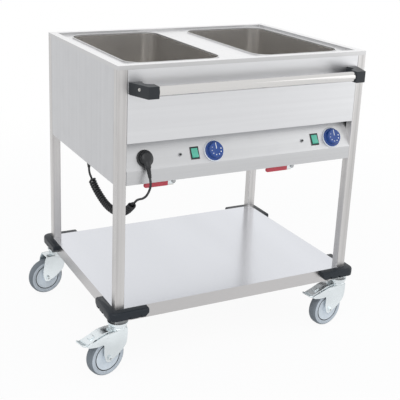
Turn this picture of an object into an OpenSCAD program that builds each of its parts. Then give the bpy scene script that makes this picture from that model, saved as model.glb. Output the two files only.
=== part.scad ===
// Mobile bain-marie trolley: two heated food wells in a stainless deck, a sloping control
// panel, a push bar, a lower shelf with corner bumpers and four swivel castors, two braked.
// Millimetres. X runs to the right, Y to the rear and Z up. The origin lies on the floor,
// midway between the four castor swivels.

/* [Body] */
// Width over the legs
body_w = 845; // [820:5:1000]
// Depth over the legs
body_d = 620; // [605:5:760]
// Height of the rim's top above the floor
total_h = 950; // [900:5:1040]
// Height of the closed body, from the rim's top to its lower edge
body_h = 350; // [345:5:400]
// Thickness of the panels' sheet
sheet = 1.2; // [0.8:0.1:1.5]
// How far the panels stand behind the legs' outer faces
panel_inset = 0.5; // [0.2:0.1:0.9]
// Width of the flanges folded in under the panels
panel_flange = 8; // [6:0.5:9]

/* [Legs] */
// Side of the square leg tube
leg_side = 30; // [26:1:35]
// Wall of the leg tube
leg_wall = 1.5; // [1:0.25:3]
// Outer corner radius of the leg tube
leg_round = 3; // [2.5:0.5:5]

/* [Deck and wells] */
// Width of the flat rim round the deck
rim_w = 25; // [20:1:30]
// Height of the rim's outer face
rim_h = 12; // [10:1:20]
// How far the deck lies below the rim
deck_drop = 8; // [4:0.5:9]
// Height of the raised edge round a well, above the deck
bead_h = 3.5; // [2.5:0.5:4]
// Width of that edge
bead_w = 3; // [2:0.5:4]
// Width of a well's opening
well_w = 308; // [290:1:312]
// Length of a well's opening, front to rear
well_l = 510; // [480:1:515]
// Depth of a well below the deck
well_depth = 215; // [150:5:220]
// Space between the two wells
well_gap = 119; // [100:1:130]
// Corner radius of a well
well_round = 50; // [30:1:70]
// Thickness of a well's wall
well_wall = 1; // [0.8:0.1:1.5]
// Width of the flange that hangs a well under the deck
well_flange = 9; // [5:0.5:10]

/* [Control panel] */
// Height of the upright apron at the foot of the control panel
apron_h = 41; // [35:1:48]
// Rise of the sloping face
slope_rise = 72; // [66:1:76]
// How far the sloping face runs back
slope_run = 37; // [30:1:42]
// Step between the sloping face and the front panel's lower edge
overhang_h = 12; // [8:1:16]
// Distance of the controls' centres up the slope
control_up = 34; // [32:0.5:37]
// Sideways distance between the left and right sets of controls
control_pitch = 430; // [410:1:440]
// Centre of the right knob, from the trolley's middle
knob_x = 328; // [320:1:335]
// Distance from a knob to its switch
switch_step = 65; // [58:1:72]
// Distance from a switch to its reset button
reset_step = 48; // [35:1:60]
// Centre of the plug's parking socket, left of the trolley's middle
dock_x = 329; // [322:1:340]

/* [Knobs and switches] */
// Radius of a knob's skirt
knob_skirt_r = 33; // [30:0.5:35]
// Radius of a knob's disc
knob_r = 31; // [26:0.5:32]
// Radius of a knob's raised cap
knob_cap_r = 23; // [18:0.5:26]
// Height of a knob above the panel
knob_h = 20; // [16:0.5:24]
// Radius of the thermostat's spindle
spindle_r = 3; // [2.5:0.25:4]
// Width of a switch's bezel
bezel_w = 28; // [27:0.5:32]
// Length of a switch's bezel
bezel_l = 38; // [37:0.5:42]
// Width of a rocker
rocker_w = 21; // [18:0.5:22]
// Length of a rocker
rocker_l = 30; // [26:0.5:31]
// Half of a rocker's swing
rocker_tilt = 8; // [5:0.5:10]
// Radius of a reset button
reset_r = 3; // [2.5:0.1:3.4]
// How far a reset button travels
reset_travel = 2; // [1:0.25:2.5]

/* [Push bar] */
// Radius of the push bar
bar_r = 15; // [12:0.5:16]
// Wall of the push bar
bar_wall = 1.5; // [1:0.25:3]
// Distance of the bar's axis in front of the front panel
bar_reach = 60; // [50:1:75]
// Depth of the bar's axis below the rim's top
bar_drop = 64; // [50:1:90]
// Depth to which the bar sits in a bracket
bar_seat = 28; // [15:1:32]
// Radius of a bracket's boss round the bar
boss_r = 18.5; // [18:0.25:21]
// Length of a bracket's boss
boss_l = 43; // [38:1:48]
// Thickness of a bracket, top to bottom
bracket_h = 35; // [30:1:36]
// Space between a bracket and the leg beside it
bracket_gap = 3; // [2:0.5:6]

/* [Drain valves] */
// Radius of the drain pipe
pipe_r = 11; // [9:0.5:13]
// Radius of the drain's bore
drain_bore_r = 7.5; // [6:0.25:8.5]
// Radius of the strainer holes in a well's floor
strainer_hole_r = 1.7; // [1:0.1:1.8]
// Distance of the drain pipe's axis behind the front end of a well
drain_in = 29.5; // [25:0.5:34]
// Depth of the lever's pivot below the body's lower edge
valve_drop = 24; // [22:0.5:30]
// Half length of the valve's body
valve_half = 17; // [15:0.5:18]
// Length of a lever, from its pivot to its tip
lever_l = 98; // [80:1:104]
// Width of a lever's grip
lever_w = 16; // [12:0.5:19]
// Thickness of a lever's steel strip
lever_t = 3; // [2:0.25:4]

/* [Lower shelf and bumpers] */
// Height of the shelf's folded edge
shelf_edge = 43; // [38:1:50]
// Width of the flanges under the shelf's edge
shelf_flange = 20; // [12:1:28]
// How far a bumper stands out from the legs
bumper_out = 25; // [18:1:32]
// Length of a bumper's arm, from its outer corner
bumper_arm = 128; // [100:1:150]
// Height of a bumper
bumper_h = 28; // [24:1:40]
// How far a bumper rises above the shelf
bumper_rise = 0; // [0:0.5:5]
// Outer corner radius of a bumper
bumper_round = 22; // [10:1:24]

/* [Castors] */
// Radius of a wheel
wheel_r = 62.5; // [55:0.5:64]
// Width of a tyre
tyre_w = 32; // [26:1:34]
// Inner radius of a tyre
tyre_in_r = 47; // [42:0.5:49]
// Height of a castor, floor to shelf
castor_h = 166; // [164:1:180]
// Distance of a wheel's axle behind the swivel's axis
trail = 46; // [38:1:48]
// Radius of an axle's sleeve
axle_r = 6; // [4:0.5:8]
// Radius of a swivel's pin
kingpin_r = 6; // [5:0.5:8]
// Radius of a swivel's race
race_r = 28; // [24:1:30]
// Thickness of a fork's side
fork_t = 3; // [2:0.25:3.5]
// Space between a tyre and a fork's side
fork_air = 4; // [2.5:0.5:5]
// Travel of a brake pedal, in degrees
pedal_travel = 10; // [6:1:11]

/* [Curly lead] */
// Diameter of the lead
cord_d = 7; // [6:0.25:7]
// Radius of a curl, to the middle of the lead
curl_r = 9; // [8:0.25:10]
// Number of curls
curls = 30; // [20:1:30]

/* [Hidden] */
$fn = 64;

// Sides and corners: -1 is left or front, 1 is right or rear.
LEFT = -1;
RIGHT = 1;
FRONT_LEFT = [-1, -1];
FRONT_RIGHT = [1, -1];
REAR_LEFT = [-1, 1];
REAR_RIGHT = [1, 1];

// How far each castor is turned about its swivel, as it was parked.
turn_front_left = 14;
turn_front_right = 8.5;
turn_rear_left = 8;
turn_rear_right = 11;

run_fit = 0.05;      // radial clearance of a turning or sliding fit
seat_fit = 0.3;      // clearance of a piece that is set in an opening

// Levels
rim_under = total_h - rim_h;
deck_z = total_h - deck_drop;
well_floor_z = deck_z - well_depth;
well_under = well_floor_z - well_wall;
body_under = total_h - body_h;
cover_z = body_under + sheet;
slope_foot_z = body_under + apron_h;
slope_top_z = slope_foot_z + slope_rise;
front_split_z = slope_top_z + overhang_h;
bar_z = total_h - bar_drop;
shelf_z = castor_h + shelf_edge;

// Places in plan
leg_in_x = body_w / 2 - leg_side;
leg_in_y = body_d / 2 - leg_side;
swivel_x = body_w / 2 - leg_side / 2;
swivel_y = body_d / 2 - leg_side / 2;
panel_x = body_w / 2 - panel_inset;
panel_y = body_d / 2 - panel_inset;
well_x = (well_w + well_gap) / 2;
drain_y = -well_l / 2 + drain_in;
valve_z = body_under - valve_drop;

// The sloping face: its length, its angle and the mitre of its sheet at each bend
slope_len = norm([slope_run, slope_rise]);
slope_angle = atan2(slope_rise, slope_run);
slope_mitre = sheet * (slope_len - slope_rise) / slope_run;
slope_shift = (slope_mitre * slope_rise - sheet * slope_run) / slope_len;

// ---- Shared shapes ----

// A rectangle with round corners, centred
module round_rect(w, d, r) {
    square([w - 2 * r, d], center = true);
    square([w, d - 2 * r], center = true);
    for (x = [-1, 1], y = [-1, 1])
        translate([x * (w / 2 - r), y * (d / 2 - r)]) circle(r);
}

// An upright sleeve with round corners, from z = low to z = high
module sleeve(w, d, r, wall, low, high) {
    least_r = 1.5;
    difference() {
        translate([0, 0, low]) linear_extrude(high - low) round_rect(w, d, r);
        translate([0, 0, low - 1]) linear_extrude(high - low + 2)
            round_rect(w - 2 * wall, d - 2 * wall, max(r - wall, least_r));
    }
}

// A cylinder along Y from y = a to y = b
module rod_y(r, a, b, fn = 64) {
    translate([0, b, 0]) rotate([90, 0, 0]) cylinder(r = r, h = b - a, $fn = fn);
}

// A cylinder along X from x = a to x = b
module rod_x(r, a, b, fn = 64) {
    translate([a, 0, 0]) rotate([0, 90, 0]) cylinder(r = r, h = b - a, $fn = fn);
}

// An outline of [y, z] points drawn out along X from x = a to x = b
module along_x(a, b) {
    translate([a, 0, 0]) rotate([90, 0, 90]) linear_extrude(b - a) children();
}

// Places a piece on the sloping face: its X along the trolley, its Y up the slope, its Z out
module on_slope(x, up = control_up) {
    translate([x, -panel_y + up * slope_run / slope_len, slope_foot_z + up * slope_rise / slope_len])
        rotate([slope_angle, 0, 0]) children();
}

function knob_at(side) = knob_x - (side == LEFT ? control_pitch : 0);
function switch_at(side) = knob_at(side) - switch_step;
function reset_at(side) = switch_at(side) - reset_step;

// ---- Frame, deck and wells ----

module leg(corner) {
    color("silver")
        translate([corner.x * swivel_x, corner.y * swivel_y, 0])
            sleeve(leg_side, leg_side, leg_round, leg_wall, shelf_z, rim_under);
}

module well_openings(low, high, grow = 0) {
    for (side = [LEFT, RIGHT])
        translate([side * well_x, 0, low]) linear_extrude(high - low)
            round_rect(well_w + 2 * grow, well_l + 2 * grow, well_round + grow);
}

module top_deck() {
    inner_w = body_w - 2 * rim_w;
    inner_d = body_d - 2 * rim_w;
    color("gainsboro") difference() {
        union() {
            sleeve(body_w, body_d, leg_round, leg_wall, rim_under, total_h);
            sleeve(body_w, body_d, leg_round, rim_w, total_h - sheet, total_h);
            sleeve(inner_w + 2 * sheet, inner_d + 2 * sheet, leg_round, sheet, deck_z - sheet, total_h);
            translate([0, 0, deck_z - sheet]) linear_extrude(sheet)
                square([inner_w + sheet, inner_d + sheet], center = true);
            well_openings(deck_z - sheet, deck_z + bead_h, bead_w);
        }
        well_openings(deck_z - sheet - 1, deck_z + bead_h + 1);
    }
}

module well(side) {
    color("darkgray") translate([side * well_x, 0, 0]) difference() {
        union() {
            translate([0, 0, well_under]) linear_extrude(deck_z - sheet - well_under)
                round_rect(well_w + 2 * well_wall, well_l + 2 * well_wall, well_round + well_wall);
            translate([0, 0, deck_z - sheet - well_wall]) linear_extrude(well_wall)
                round_rect(well_w + 2 * well_flange, well_l + 2 * well_flange, well_round + well_flange);
        }
        translate([0, 0, well_floor_z]) linear_extrude(well_depth)
            round_rect(well_w, well_l, well_round);
        translate([0, drain_y, well_under - 1]) strainer_holes(well_wall + 2);
    }
}

// The small holes over the drain pipe: one in the middle and six round it
module strainer_holes(h) {
    cylinder(r = strainer_hole_r, h = h, $fn = 24);
    for (turn = [0:60:300]) rotate([0, 0, turn]) translate([drain_bore_r - strainer_hole_r - 1, 0, 0])
        cylinder(r = strainer_hole_r, h = h, $fn = 24);
}

// ---- Panels ----

module side_panel(side) {
    color("lightgray") scale([side, 1, 1]) {
        translate([panel_x - sheet, -leg_in_y, body_under])
            cube([sheet, 2 * leg_in_y, rim_under - body_under]);
        translate([panel_x - panel_flange, -leg_in_y, body_under])
            cube([panel_flange, 2 * leg_in_y, sheet]);
    }
}

// The upper front sheet, with a flange folded back over the control panel
module front_panel() {
    flange_w = slope_run + sheet;
    color("lightgray") difference() {
        along_x(-leg_in_x, leg_in_x) {
            translate([-panel_y, front_split_z]) square([sheet, rim_under - front_split_z]);
            translate([-panel_y, front_split_z]) square([flange_w, sheet]);
        }
        for (side = [LEFT, RIGHT]) at_base_screws(side) rod_y(base_screw_r + seat_fit, -1, sheet + 1, 32);
    }
}

module rear_panel() {
    color("lightgray") along_x(-leg_in_x, leg_in_x) {
        translate([panel_y - sheet, body_under]) square([sheet, rim_under - body_under]);
        translate([panel_y - panel_flange, body_under]) square([panel_flange, sheet]);
    }
}

// One folded sheet: apron, sloping face and the short upright that ends under the front panel
module control_panel() {
    front_y = -panel_y;
    back_y = front_y + slope_run;
    color("whitesmoke") difference() {
        along_x(-leg_in_x, leg_in_x) polygon([
            [front_y, body_under],
            [front_y, slope_foot_z],
            [back_y, slope_top_z],
            [back_y, front_split_z],
            [back_y + sheet, front_split_z],
            [back_y + sheet, slope_top_z + slope_shift],
            [front_y + sheet, slope_foot_z + slope_shift],
            [front_y + sheet, body_under + sheet],
            [front_y + panel_flange, body_under + sheet],
            [front_y + panel_flange, body_under]
        ]);
        for (side = [LEFT, RIGHT]) {
            on_slope(knob_at(side)) drill(bush_r + run_fit);
            on_slope(reset_at(side)) drill(reset_barrel_r + run_fit);
            on_slope(switch_at(side)) translate([0, 0, -sheet / 2])
                cube([barrel_w + 2 * seat_fit, barrel_l + 2 * seat_fit, 3 * sheet], center = true);
        }
        on_slope(-dock_x) drill(dock_cup_r + seat_fit);
    }
}

// A hole through the sloping sheet
module drill(r) {
    translate([0, 0, -2 * sheet]) cylinder(r = r, h = 3 * sheet);
}

module bottom_cover() {
    plate_w = body_w - 2 * (panel_inset + sheet);
    plate_d = body_d - 2 * (panel_inset + sheet);
    color("darkgray") translate([0, 0, cover_z]) difference() {
        linear_extrude(sheet) difference() {
            square([plate_w, plate_d], center = true);
            for (x = [-1, 1], y = [-1, 1])
                translate([x * swivel_x, y * swivel_y]) square(leg_side, center = true);
        }
        for (side = [LEFT, RIGHT])
            translate([side * well_x, drain_y, -1]) cylinder(r = pipe_r + seat_fit, h = sheet + 2);
        translate([gland_at.x, gland_at.y, -1]) cylinder(r = gland_thread_r + seat_fit, h = sheet + 2);
    }
}

// ---- Heating ----

element_r = 4;                        // radius of the heating tube
element_sleeve_r = 5;                 // radius of its crimped sleeves and of its ends
element_bend = 30;                    // radius of its U bends
element_rear = 190;                   // where the rear bends start
element_front = -140;                 // where the front bend starts
element_tail = 30;                    // straight length of the tube's ends
strap_y = [-60, 100];                 // places of the holding straps
strap_size = [222, 14, 2];            // a holding strap
stud_r = 3;                           // radius of a strap's studs

// A tube bent in three U turns, clamped under the well's floor by two straps
module heating_element(side) {
    tube_z = well_under - element_sleeve_r - seat_fit;
    strap_z = tube_z - element_r - strap_size.z + seat_fit;
    color("dimgray") translate([side * well_x, 0, 0]) {
        for (x = [-3, -1, 1, 3]) translate([x * element_bend, 0, tube_z])
            rod_y(element_r, element_front - (abs(x) == 3 ? element_tail : 1), element_rear + 1, 32);
        for (x = [-2, 2]) translate([x * element_bend, element_rear, tube_z]) element_turn(0);
        translate([0, element_front, tube_z]) element_turn(180);
        for (x = [-3, 3]) translate([x * element_bend, element_front - element_tail, tube_z])
            rod_y(element_sleeve_r, -12, 0, 32);
        for (y = strap_y) {
            translate([-strap_size.x / 2, y - strap_size.y / 2, strap_z]) cube(strap_size);
            for (x = [-1, 1]) translate([x * (strap_size.x / 2 - 2 * stud_r), y, strap_z])
                cylinder(r = stud_r, h = well_under - strap_z, $fn = 32);
        }
    }
}

// A U bend with the crimped sleeves that join it to the straight lengths
module element_turn(angle) {
    rotate([0, 0, angle]) {
        rotate_extrude(angle = 180) translate([element_bend, 0]) circle(element_r, $fn = 32);
        for (x = [-1, 1]) translate([x * element_bend, 0, 0]) rod_y(element_sleeve_r, -4, 4, 32);
    }
}

// ---- Thermostats, knobs, switches and reset buttons ----

thermostat_size = [44, 34, 28];       // the thermostat's case
bush_r = 5;                           // its bush, which passes the panel
bush_h = 3;                           // how far the bush stands out of the panel
spindle_in = 18;                      // how far the spindle reaches into the case

module thermostat(side) {
    color("tan") on_slope(knob_at(side)) difference() {
        union() {
            translate([-thermostat_size.x / 2, -thermostat_size.y / 2, -sheet - thermostat_size.z])
                cube(thermostat_size);
            translate([0, 0, -sheet - 1]) cylinder(r = bush_r, h = sheet + 1 + bush_h);
        }
        translate([0, 0, -spindle_in - 1]) cylinder(r = spindle_r + run_fit, h = spindle_in + bush_h + 2);
    }
}

// A round knob: skirt, disc and raised cap with its numbered arc left to the finish
module knob(side) {
    skirt_z = 0.6;
    disc_z = 2.2;
    cap_z = 8;
    color("navy") on_slope(knob_at(side)) {
        translate([0, 0, -spindle_in]) cylinder(r = spindle_r, h = spindle_in + cap_z);
        difference() {
            union() {
                translate([0, 0, skirt_z]) cylinder(r = knob_skirt_r, h = disc_z - skirt_z);
                translate([0, 0, disc_z]) cylinder(r1 = knob_r, r2 = knob_r - 2, h = cap_z - disc_z);
                translate([0, 0, cap_z]) cylinder(r1 = knob_cap_r + 1, r2 = knob_cap_r, h = knob_h - cap_z);
            }
            translate([0, 0, skirt_z - 1]) cylinder(r = bush_r + 1, h = bush_h + 1);
        }
    }
}

bezel_t = 2;                          // thickness of a bezel above the panel
barrel_wall = 1.3;                    // wall of the barrel behind it
barrel_depth = 16;                    // depth of the barrel
pivot_r = 1.5;                        // radius of a rocker's trunnions
pivot_in = 3;                         // depth of the trunnions below the panel's face
rocker_face = 4;                      // how far a rocker's face stands out of the panel
window_w = rocker_w + 2 * seat_fit;
window_l = rocker_l + 2 * seat_fit;
barrel_w = window_w + 2 * barrel_wall;
barrel_l = window_l + 2 * barrel_wall;

module switch_bezel(side) {
    color("black") on_slope(switch_at(side)) difference() {
        union() {
            translate([-bezel_w / 2, -bezel_l / 2, 0]) cube([bezel_w, bezel_l, bezel_t]);
            translate([-barrel_w / 2, -barrel_l / 2, -barrel_depth]) cube([barrel_w, barrel_l, barrel_depth + 1]);
        }
        translate([-window_w / 2, -window_l / 2, -barrel_depth + barrel_wall])
            cube([window_w, window_l, barrel_depth + bezel_t]);
        translate([0, 0, -pivot_in]) rod_x(pivot_r + run_fit, -barrel_w / 2 - 1, barrel_w / 2 + 1, 32);
    }
}

// The rocker's ends are arcs about its trunnions, so they pass the bezel as it tips
module switch_rocker(side) {
    color("mediumseagreen") on_slope(switch_at(side)) translate([0, 0, -pivot_in]) rotate([-rocker_tilt, 0, 0]) {
        intersection() {
            rod_x(rocker_l / 2, -rocker_w / 2, rocker_w / 2);
            translate([-rocker_w / 2, -rocker_l / 2, -pivot_in - 3])
                cube([rocker_w, rocker_l, pivot_in + 3 + pivot_in + rocker_face]);
        }
        rod_x(pivot_r, -barrel_w / 2, barrel_w / 2, 32);
    }
}

reset_barrel_r = 4.6;                 // radius of a reset button's bush
reset_nut_r = 6;                      // radius of its six-sided nut, to the corners
reset_nut_h = 2.5;                    // height of the nut
reset_depth = 16;                     // depth of the bush behind the panel
reset_proud = 3.5;                    // how far a button stands out of its nut

module reset_bushes() {
    color("gray") for (side = [LEFT, RIGHT]) on_slope(reset_at(side)) difference() {
        union() {
            cylinder(r = reset_nut_r, h = reset_nut_h, $fn = 6);
            translate([0, 0, -reset_depth]) cylinder(r = reset_barrel_r, h = reset_depth + 1);
        }
        translate([0, 0, -reset_depth + 2]) cylinder(r = reset_r + run_fit, h = reset_depth + reset_nut_h);
    }
}

module reset_button(side) {
    tail = reset_depth - 2 - reset_travel - seat_fit;
    color("dimgray") on_slope(reset_at(side)) translate([0, 0, -tail])
        cylinder(r = reset_r, h = tail + reset_nut_h + reset_proud);
}

// ---- Plug and its parking socket ----

dock_r = 26;                          // radius of the socket's flange
dock_rim = 6;                         // height of the flange
dock_depth = 38;                      // depth of its cup behind the panel
dock_bore_r = 20;                     // bore that takes the plug
dock_cup_r = dock_bore_r + 1.5;
plug_r = dock_bore_r - seat_fit;      // radius of the plug's round body
plug_in = 14;                         // how far the body goes into the socket
plug_out = 23;                        // how far it stands out of the panel
plug_tail = 60;                       // distance of the plug's end down the slope
plug_axis = 14;                       // height of the lead's axis above the panel
plug_neck_r = 8.5;                    // radius of the plug's neck
pin_r = 2.4;
pin_step = 9.5;
pin_len = 19;

module plug_dock() {
    color("black") on_slope(-dock_x) difference() {
        union() {
            cylinder(r = dock_r, h = dock_rim);
            translate([0, 0, -dock_depth]) cylinder(r = dock_cup_r, h = dock_depth + 1);
        }
        translate([0, 0, -dock_depth + 2]) cylinder(r = dock_bore_r, h = dock_depth + dock_rim);
    }
}

// An angled earthed plug, its neck pointing down the slope
module plug() {
    color([0.1, 0.1, 0.1]) on_slope(-dock_x) {
        translate([0, 0, -plug_in]) cylinder(r = plug_r, h = plug_in + dock_rim + 2);
        hull() {
            translate([0, 0, dock_rim + 1]) cylinder(r = plug_r, h = plug_out - dock_rim - 4, $fn = 32);
            translate([0, 0, plug_out - 3]) cylinder(r = plug_r - 4, h = 3, $fn = 32);
            translate([0, 0, plug_axis + 1]) rod_y(plug_neck_r, 6 - plug_tail / 2, 8 - plug_tail / 2, 32);
        }
        translate([0, -plug_tail / 2 + 8, plug_axis]) rotate([90, 0, 0])
            cylinder(r1 = plug_neck_r, r2 = cord_d / 2 + 1.5, h = plug_tail / 2 + 8, $fn = 32);
        for (x = [-1, 1]) translate([x * pin_step, 0, -plug_in - pin_len]) cylinder(r = pin_r, h = pin_len + 1);
    }
}

// ---- Cable gland and curly lead ----

gland_in = [21, 282];                 // the gland's place, from the body's front left corner
gland_at = [-body_w / 2, -body_d / 2] + gland_in;
gland_thread_r = 7.5;
gland_nut_r = 9.5;
gland_nut_h = 5;
gland_tip = 28;                       // depth of the gland's tip below the body

// A gland through the bottom cover: lock nut above, body and tapered sleeve below
module cable_gland() {
    color([0.15, 0.15, 0.16]) translate([gland_at.x, gland_at.y, 0]) {
        translate([0, 0, cover_z + sheet]) cylinder(r = gland_nut_r, h = gland_nut_h, $fn = 6);
        translate([0, 0, cover_z - 1]) cylinder(r = gland_thread_r, h = sheet + 2);
        translate([0, 0, cover_z - gland_nut_h - 3]) cylinder(r = gland_nut_r, h = gland_nut_h + 3);
        translate([0, 0, body_under - gland_tip])
            cylinder(r1 = cord_d / 2 + 1, r2 = gland_thread_r, h = gland_tip - gland_nut_h);
    }
}

// The lead's routes are offsets from the body's lower front left corner.
cord_corner = [-body_w / 2, -body_d / 2, body_under];
gland_end = [gland_at.x, gland_at.y, body_under - gland_tip];
plug_end = [
    -dock_x,
    -panel_y + ((control_up - plug_tail) * slope_run - plug_axis * slope_rise) / slope_len,
    slope_foot_z + ((control_up - plug_tail) * slope_rise + plug_axis * slope_run) / slope_len
];
plug_way = [0, slope_run, slope_rise] / slope_len;
curl_route = [for (p = [
    [22, 266, -55], [25, 244, -77], [32, 214, -101], [40, 180, -120],
    [49, 144, -128], [58, 108, -124], [66, 74, -105], [74, 44, -74]
]) cord_corner + p];
lead_route = concat([gland_end], [for (p = [[21, 280, -39], [21, 274, -48]]) cord_corner + p], [curl_route[0]]);
tail_route = concat([curl_route[7]], [for (p = [
    [77, 30, -60], [80, 16, -52], [83, 1, -45], [87, -15, -32], [90, -28, -12], [92, -32, 6]
]) cord_corner + p], [plug_end]);

function unit(v) = v / norm(v);
function between(a, b, c, d, t) =
    0.5 * (2 * b + (c - a) * t + (2 * a - 5 * b + 4 * c - d) * t * t + (3 * b - a - 3 * c + d) * t * t * t);

// A smooth curve through a route's points, with a number of steps between each two
function smooth(route, steps) = let (
    last = len(route) - 1,
    p = concat([2 * route[0] - route[1]], route, [2 * route[last] - route[last - 1]])
) [for (i = [0:last - 1], k = [0:steps - 1]) between(p[i], p[i + 1], p[i + 2], p[i + 3], k / steps), route[last]];

function lengths(p) = [for (i = 0, s = 0; i < len(p); s = s + (i + 1 < len(p) ? norm(p[i + 1] - p[i]) : 0), i = i + 1) s];
function way_at(p, i) = unit(p[min(i + 1, len(p) - 1)] - p[max(i - 1, 0)]);

// The middle of the curls hangs in one upright plane, between the gland and the plug.
hang = smooth(curl_route, 10);
hang_at = lengths(hang);
hang_len = hang_at[len(hang_at) - 1];
hang_x = [for (i = [0:len(hang) - 1]) [hang_at[i], hang[i].x]];
hang_y = [for (i = [0:len(hang) - 1]) [hang_at[i], hang[i].y]];
hang_z = [for (i = [0:len(hang) - 1]) [hang_at[i], hang[i].z]];
function hang_point(s) = [lookup(s, hang_x), lookup(s, hang_y), lookup(s, hang_z)];
function hang_way(s) = unit(hang_point(min(s + 2, hang_len)) - hang_point(max(s - 2, 0)));
hang_side = unit(cross(curl_route[7] - curl_route[0], [0, 0, 1]));

curl_rings = 8;                       // rings in one curl
curl_sides = 6;                       // sides of the curled lead
curl_ease = 4;                        // rings over which a curl opens from the middle
curl_pitch = (hang_len - 2 * cord_d) / curls;
curl_last = curls * curl_rings;
function ease(k) = let (t = min(1, min(k, curl_last - k) / curl_ease)) t * t * (3 - 2 * t);
function curl_along(k) = cord_d + k * curl_pitch / curl_rings;
function curl_out(k) = let (a = 360 * k / curl_rings)
    cos(a) * hang_side + sin(a) * cross(hang_way(curl_along(k)), hang_side);
curl_points = concat(
    [hang_point(0)],
    [for (k = [0:curl_last]) hang_point(curl_along(k)) + curl_r * ease(k) * curl_out(k)],
    [hang_point(hang_len)]
);
curl_outs = concat([curl_out(0)], [for (k = [0:curl_last]) curl_out(k)], [curl_out(curl_last)]);
curl_least_gap = min([for (i = [0:len(curl_points) - 1], j = [i + curl_ease:min(i + 3 * curl_rings, len(curl_points) - 1)])
    norm(curl_points[i] - curl_points[j])]) - cord_d;
echo(curl_least_gap = curl_least_gap, curl_pitch = curl_pitch);

// A tube along points, with its first and last faces square to the ways given
module tube(points, outs, first_way, last_way, r, sides) {
    last = len(points) - 1;
    rings = [for (i = [0:last]) let (
        way = i == 0 ? first_way : i == last ? last_way : way_at(points, i),
        out = unit(outs[i] - (outs[i] * way) * way),
        over = cross(way, out)
    ) [for (k = [0:sides - 1]) points[i] + r * (cos(360 * k / sides) * out + sin(360 * k / sides) * over)]];
    polyhedron(
        points = [for (ring = rings) each ring],
        faces = concat(
            [for (k = [1:sides - 2]) [0, k + 1, k]],
            [for (k = [1:sides - 2]) [last * sides, last * sides + k, last * sides + k + 1]],
            [for (i = [0:last - 1], k = [0:sides - 1]) each let (
                a = i * sides + k, b = i * sides + (k + 1) % sides
            ) [[a, b, a + sides], [b, b + sides, a + sides]]]
        )
    );
}

module free_lead(route, first_way, last_way) {
    points = smooth(route, 2);
    color([0.1, 0.1, 0.1])
        tube(points, [for (p = points) hang_side], first_way, last_way, cord_d / 2, 8);
}

module cord_lead() {
    free_lead(lead_route, [0, 0, -1], hang_way(0));
}

module cord_curls() {
    color([0.1, 0.1, 0.1])
        tube(curl_points, curl_outs, hang_way(0), hang_way(hang_len), cord_d / 2, curl_sides);
}

module cord_tail() {
    free_lead(tail_route, hang_way(hang_len), plug_way);
}

// ---- Drain valves ----

drain_flange_r = 22;                  // flange that welds the pipe under the well
drain_flange_h = 1.5;
valve_body_r = 15;
stem_r = 4;
stem_boss_r = 8;
lever_gap = 24;                       // from the pipe's axis to the lever's strip
lever_neck = 18;                      // where the grip starts, from the pivot
lever_dip = 4;                        // how far the grip hangs below the pivot
lever_nut_r = 6.5;
lever_nut_h = 5;

module drain_valve(side) {
    outlet_z = valve_z - valve_half;
    color("lightsteelblue") translate([side * well_x, drain_y, 0]) difference() {
        union() {
            translate([0, 0, well_under - drain_flange_h]) cylinder(r = drain_flange_r, h = drain_flange_h);
            translate([0, 0, outlet_z]) cylinder(r = pipe_r, h = well_under - outlet_z);
            for (z = [outlet_z, valve_z + valve_half - 10]) translate([0, 0, z])
                cylinder(r = valve_body_r, h = 10, $fn = 6);
            translate([0, 0, valve_z - valve_half + 5]) cylinder(r = valve_body_r - 1, h = 2 * valve_half - 10);
            translate([0, 0, valve_z]) rod_y(stem_boss_r, -lever_gap + seat_fit, 0, 32);
        }
        translate([0, 0, outlet_z - 1]) cylinder(r = drain_bore_r, h = well_under - outlet_z + 2);
        translate([0, 0, valve_z]) rod_y(stem_r + run_fit, -lever_gap - 1, -drain_bore_r - 1, 32);
    }
}

// A steel strip on the valve's stem, with a thick grip, closed across the pipe
module valve_lever(side) {
    color("firebrick") translate([side * well_x, drain_y, valve_z]) {
        rod_y(stem_r, -lever_gap - lever_t, -drain_bore_r - 2, 32);
        translate([0, -lever_gap, 0]) {
            rod_y(lever_w / 2 + 1, -lever_t, 0);
            rod_y(lever_nut_r, -lever_t - lever_nut_h, -lever_t, 6);
            translate([-lever_neck - 6, -lever_t, -lever_w / 2 - lever_dip / 2]) cube([lever_neck + 6, lever_t, lever_w - 2]);
            translate([-lever_l + lever_w / 2, -lever_t - 2, -lever_w / 2 - lever_dip])
                cube([lever_l - lever_neck - lever_w / 2, lever_t + 4, lever_w]);
            translate([-lever_l + lever_w / 2, 0, -lever_dip]) rod_y(lever_w / 2, -lever_t - 2, 2);
        }
    }
}

// ---- Push bar and brackets ----

base_screw_r = 3;
base_screw_len = 16;
base_screw_step = 10;                 // each screw's distance above or below the bar's axis
base_screw_in = 18;                   // the screws' distance from the bracket's outer edge
clamp_screw_r = 2.5;
clamp_screw_len = 12;
clamp_head_r = 4.5;
clamp_head_h = 3;
bracket_w = 38;                       // width of the bracket's base
bracket_out = leg_in_x - bracket_gap;
boss_in = 26;                         // from the bracket's outer edge in to the boss
bracket_front = 32;                   // width of the bracket's front face
boss_out = bracket_out - boss_in;
bracket_side = [[-1, -8], [-boss_in, -bar_reach - boss_r + 1]];   // its slanting outer face
clamp_rise = 4;                       // the clamp screw's height above the bar's axis
bar_half = boss_out - boss_l + bar_seat;

module at_base_screws(side) {
    for (z = [-1, 1])
        translate([side * (bracket_out - base_screw_in), -panel_y, bar_z + z * base_screw_step]) children();
}

// The clamp screw stands square on the middle of the bracket's slanting face
module at_clamp_screw() {
    middle = (bracket_side[0] + bracket_side[1]) / 2;
    way = bracket_side[0] - bracket_side[1];
    translate([bracket_out + middle.x, -panel_y + middle.y, bar_z + clamp_rise])
        rotate([0, 0, atan2(way.y, way.x)]) children();
}

module push_bar() {
    color("gray") translate([0, -panel_y - bar_reach, bar_z]) difference() {
        rod_x(bar_r, -bar_half, bar_half);
        rod_x(bar_r - bar_wall, -bar_half - 1, bar_half + 1);
    }
}

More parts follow.
